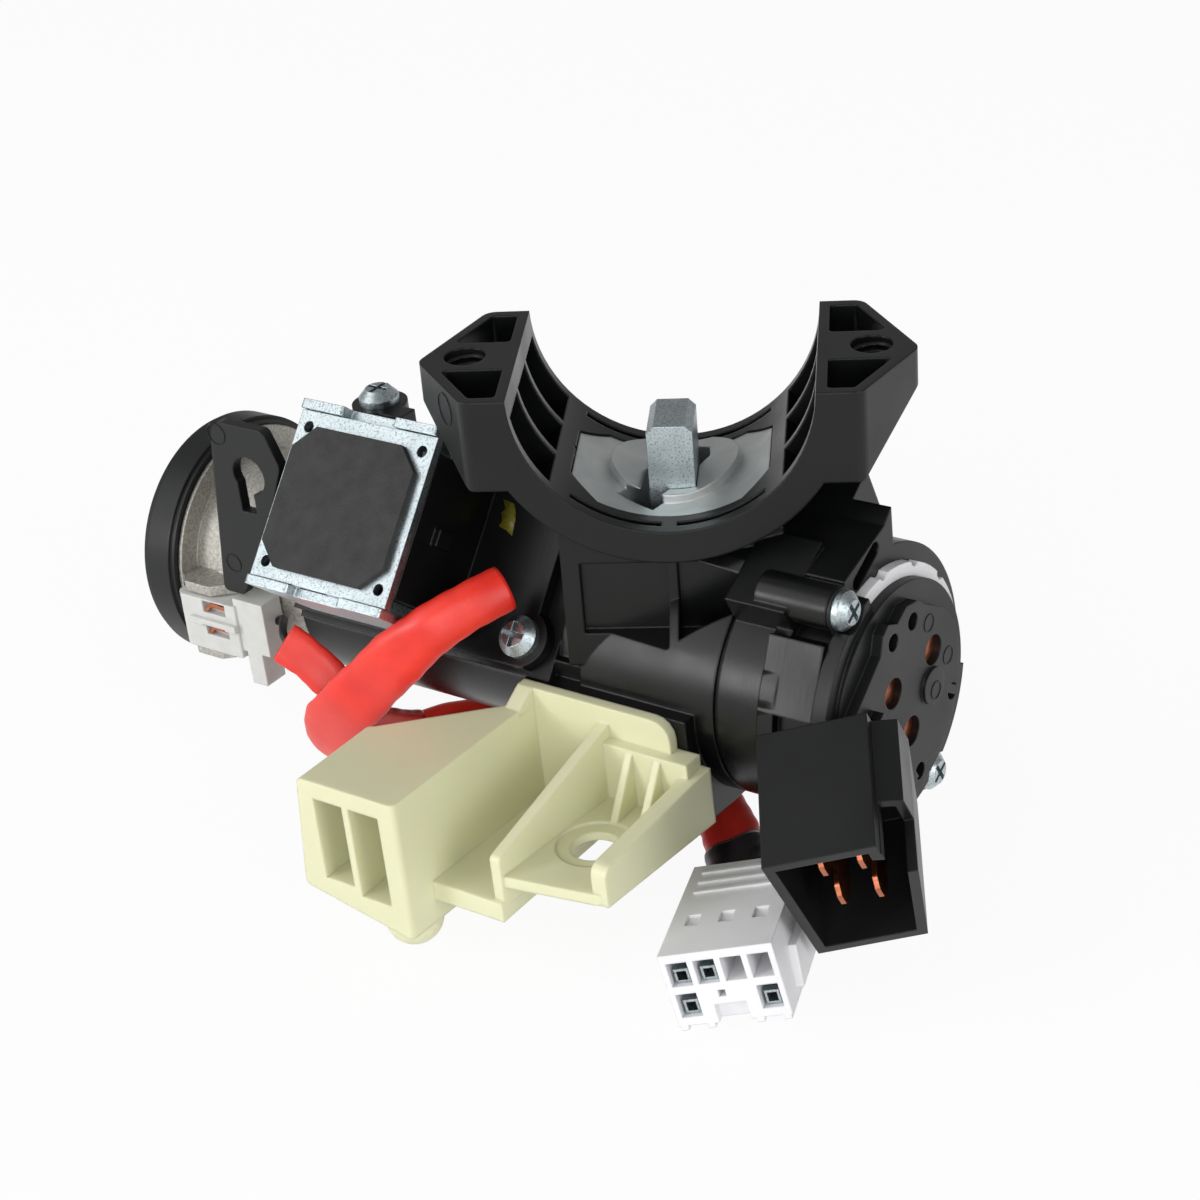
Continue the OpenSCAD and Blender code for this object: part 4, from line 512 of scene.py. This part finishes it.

# Springs: one under the bolt's slider, one round the interlock plunger and a tiny one behind the
# reminder's pin.
# In the lock each is pressed short as its part moves; here each is built at one length.
# Hard-drawn steel wire, coiled: a grey shine, faintly uneven.
spring_wire, tree, place = new_material("spring_steel_wire_drawn")
drawn = add(tree, "TexNoise", {"Vector": place, "Scale": 1 / (0.6 * MM), "Detail": 3.0}).outputs[0]
tone = add(tree, "Mix", {0: drawn, 6: linear("#84888a"), 7: linear("#b9bec0")},
           data_type="RGBA").outputs[2]
gloss = add(tree, "MapRange", {"Value": drawn, "To Min": 0.22, "To Max": 0.4}).outputs[0]
surface(tree, {"Base Color": tone, "Metallic": 1.0, "Roughness": gloss}, drawn, 0.15, 0.03 * MM)
COIL_STEPS = 28
WIRE_SIDES = 10
CLOSED_PITCH = 1.1


def coil_spring(name, node, foot, way, radius, wire, height, turns):
    """A spring with closed ends, in mm, on a foot in the lock's frame, built at one length."""
    stand = lock_point(foot)
    way = (lock.to_3x3() @ Vector(way)).normalized()
    across = way.orthogonal().normalized()
    other = way.cross(across)
    closed = CLOSED_PITCH * wire
    made = bmesh.new()
    rings = []
    for k in range(turns * COIL_STEPS + 1):
        turn = k / COIL_STEPS
        middle = min(max(turn - 1, 0), turns - 2)
        rise = closed * (turn - middle) + middle * (height - wire - 2 * closed) / (turns - 2)
        out = across * math.cos(2 * math.pi * turn) + other * math.sin(2 * math.pi * turn)
        centre = stand + (out * radius + way * (wire / 2 + rise)) * MM
        angles = [2 * math.pi * i / WIRE_SIDES for i in range(WIRE_SIDES)]
        rings.append([made.verts.new(centre + (out * math.cos(a) + way * math.sin(a)) * wire / 2 * MM)
                      for a in angles])
    bridge(made, rings)
    made.faces.new(rings[0])
    made.faces.new(rings[-1])
    coil = finish_mesh(name, made, spring_wire)
    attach(coil, "housing")
    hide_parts(node)
    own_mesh(coil)


coil_spring("bolt_coil", "bolt_spring", (0, 0, -17.2), (0, 0, 1), radius=2.2, wire=0.9, height=13.4,
            turns=6)
coil_spring("plunger_coil", "plunger_spring", (-47.5, -14.176, 17.893), (0, -0.7604, 0.6494),
            radius=3.05, wire=0.5, height=3.6, turns=4)
coil_spring("reminder_coil", "reminder_spring", (-90, -22.2, -4), (0, 1, 0), radius=0.9, wire=0.35,
            height=2.6, turns=5)

# Ignition switch: a round black case on the end of the drum, a white contact
# carrier and a face with riveted contacts, held by two screws. The black is
# moulded PBT, a little paler than the housing and with hardly any lines.
switch_black = moulded_black("black_pbt_moulded", "#0f1010", "#191a1a", 0.34, 0.48, 0.6, 0.15, 0.35)

# White PBT, moulded: a cool white, nearly opaque, with a fine even skin.
white_pbt, tree, place = new_material("white_pbt_moulded")
cloud = add(tree, "TexNoise", {"Vector": place, "Scale": 1 / (6 * MM), "Detail": 3.0}).outputs[0]
skin = add(tree, "TexNoise", {"Vector": place, "Scale": 1 / (0.4 * MM), "Detail": 2.0}).outputs[0]
tone = add(tree, "Mix", {0: cloud, 6: linear("#dadadd"), 7: linear("#e6e6e8")},
           data_type="RGBA").outputs[2]
gloss = add(tree, "MapRange", {"Value": cloud, "To Min": 0.32, "To Max": 0.46}).outputs[0]
surface(tree, {"Base Color": tone, "Roughness": gloss, "IOR": 1.55, "Subsurface Weight": 0.15,
               "Subsurface Radius": (1.0, 0.95, 0.9), "Subsurface Scale": 1 * MM},
        skin, 0.15, 0.05 * MM, 0.3 * MM)

dress(switch_black, "switch_case", "switch_base")
dress(white_pbt, "contact_carrier", "switch_rotor")
dress(copper, "contact_bridge", "contact_rivets", "socket_blades")
dress(zinc_plate, "switch_screws")
FACE_FACING = (0.866, -0.5, 0.035)
FACE_MARKS = [(40.66, -15.75, -42.45), (43.7, -11.1, -51.28), (41.62, -16.16, -54.82)]
for number, where in enumerate(FACE_MARKS, 1):
    ejector_mark("ejector_mark_face_%d" % number, where, FACE_FACING, 1.5, switch_black)

# Harness bracket: an ivory moulding that holds the loom's plugs, screwed to the
# pad under the drum. Natural nylon: it lets a little light in at thin walls.
ivory, tree, place = new_material("natural_nylon_moulded")
cloud = add(tree, "TexNoise", {"Vector": place, "Scale": 1 / (18 * MM), "Detail": 3.0}).outputs[0]
skin = add(tree, "TexNoise", {"Vector": place, "Scale": 1 / (0.5 * MM), "Detail": 2.0}).outputs[0]
tone = add(tree, "Mix", {0: cloud, 6: linear("#cfcfaa"), 7: linear("#dadab8")},
           data_type="RGBA").outputs[2]
gloss = add(tree, "MapRange", {"Value": cloud, "To Min": 0.38, "To Max": 0.52}).outputs[0]
surface(tree, {"Base Color": tone, "Roughness": gloss, "IOR": 1.53, "Subsurface Weight": 0.3,
               "Subsurface Radius": (1.0, 0.95, 0.6), "Subsurface Scale": 2 * MM},
        skin, 0.15, 0.05 * MM, 0.6 * MM)
dress(ivory, "harness_bracket")

# Plug: a white six-way housing on the end of the long lead, with tinned
# terminals in four of its ways.
dress(white_pbt, "plug_housing")
dress(zinc_plate, "plug_terminals")

# Floor: a wide pale sheet that the part stands on. It shows white to the
# camera and in reflections, and still takes the part's soft shadow.
FLOOR_HALF = 4.0
WHITE_SHARE = 0.93
made = bmesh.new()
bmesh.ops.create_grid(made, x_segments=1, y_segments=1, size=FLOOR_HALF)
floor_paper, tree, _ = new_material("white_paper_sheet")
rays = add(tree, "LightPath").outputs
direct = add(tree, "Math", {0: rays["Is Camera Ray"], 1: rays["Is Glossy Ray"]},
             operation="MAXIMUM").outputs[0]
seen = add(tree, "Math", {0: direct, 1: rays["Is Transmission Ray"]}, operation="MAXIMUM").outputs[0]
paper = add(tree, "BsdfDiffuse", {"Color": linear("#f4f4f4")}).outputs[0]
glow = add(tree, "Emission", {"Color": (1, 1, 1, 1), "Strength": 1.0}).outputs[0]
share = add(tree, "Math", {0: seen, 1: WHITE_SHARE}, operation="MULTIPLY").outputs[0]
both = add(tree, "MixShader", {0: share, 1: paper, 2: glow}).outputs[0]
tree.links.new(both, tree.nodes["Material Output"].inputs["Surface"])
floor = finish_mesh("floor", made, floor_paper)
floor.location.z = cad_box[0].z

# Light: a soft box high on the left with a small one under it, one in front,
# one on the right, and an even grey surround.
SURROUND = 0.34
world = bpy.data.worlds.new("studio")
scene.world = world
world.use_nodes = True
surround = world.node_tree.nodes["Background"].inputs
surround["Color"].default_value = (1, 1, 1, 1)
surround["Strength"].default_value = SURROUND


def soft_box(name, where, aim, size, power):
    """A flat lamp of a size in metres and a power in watts, turned to its aim."""
    lamp = bpy.data.lights.new(name, "AREA")
    lamp.shape = "RECTANGLE"
    lamp.size, lamp.size_y = size
    lamp.energy = power
    placed = bpy.data.objects.new(name, lamp)
    scene.collection.objects.link(placed)
    placed.location = where
    placed.rotation_mode = "QUATERNION"
    placed.rotation_quaternion = (Vector(aim) - Vector(where)).to_track_quat("-Z", "Y")


CENTRE = (0.0, -0.02, -0.05)
soft_box("left_box", (-0.78, -0.22, 0.56), CENTRE, (0.8, 0.7), 2.8)
soft_box("low_left_box", (-0.88, -0.44, 0.16), CENTRE, (0.3, 0.3), 3)
soft_box("front_box", (-0.15, -1.0, 0.32), CENTRE, (0.6, 0.6), 4.8)
soft_box("right_box", (0.75, -0.7, 0.25), CENTRE, (0.5, 0.7), 4)
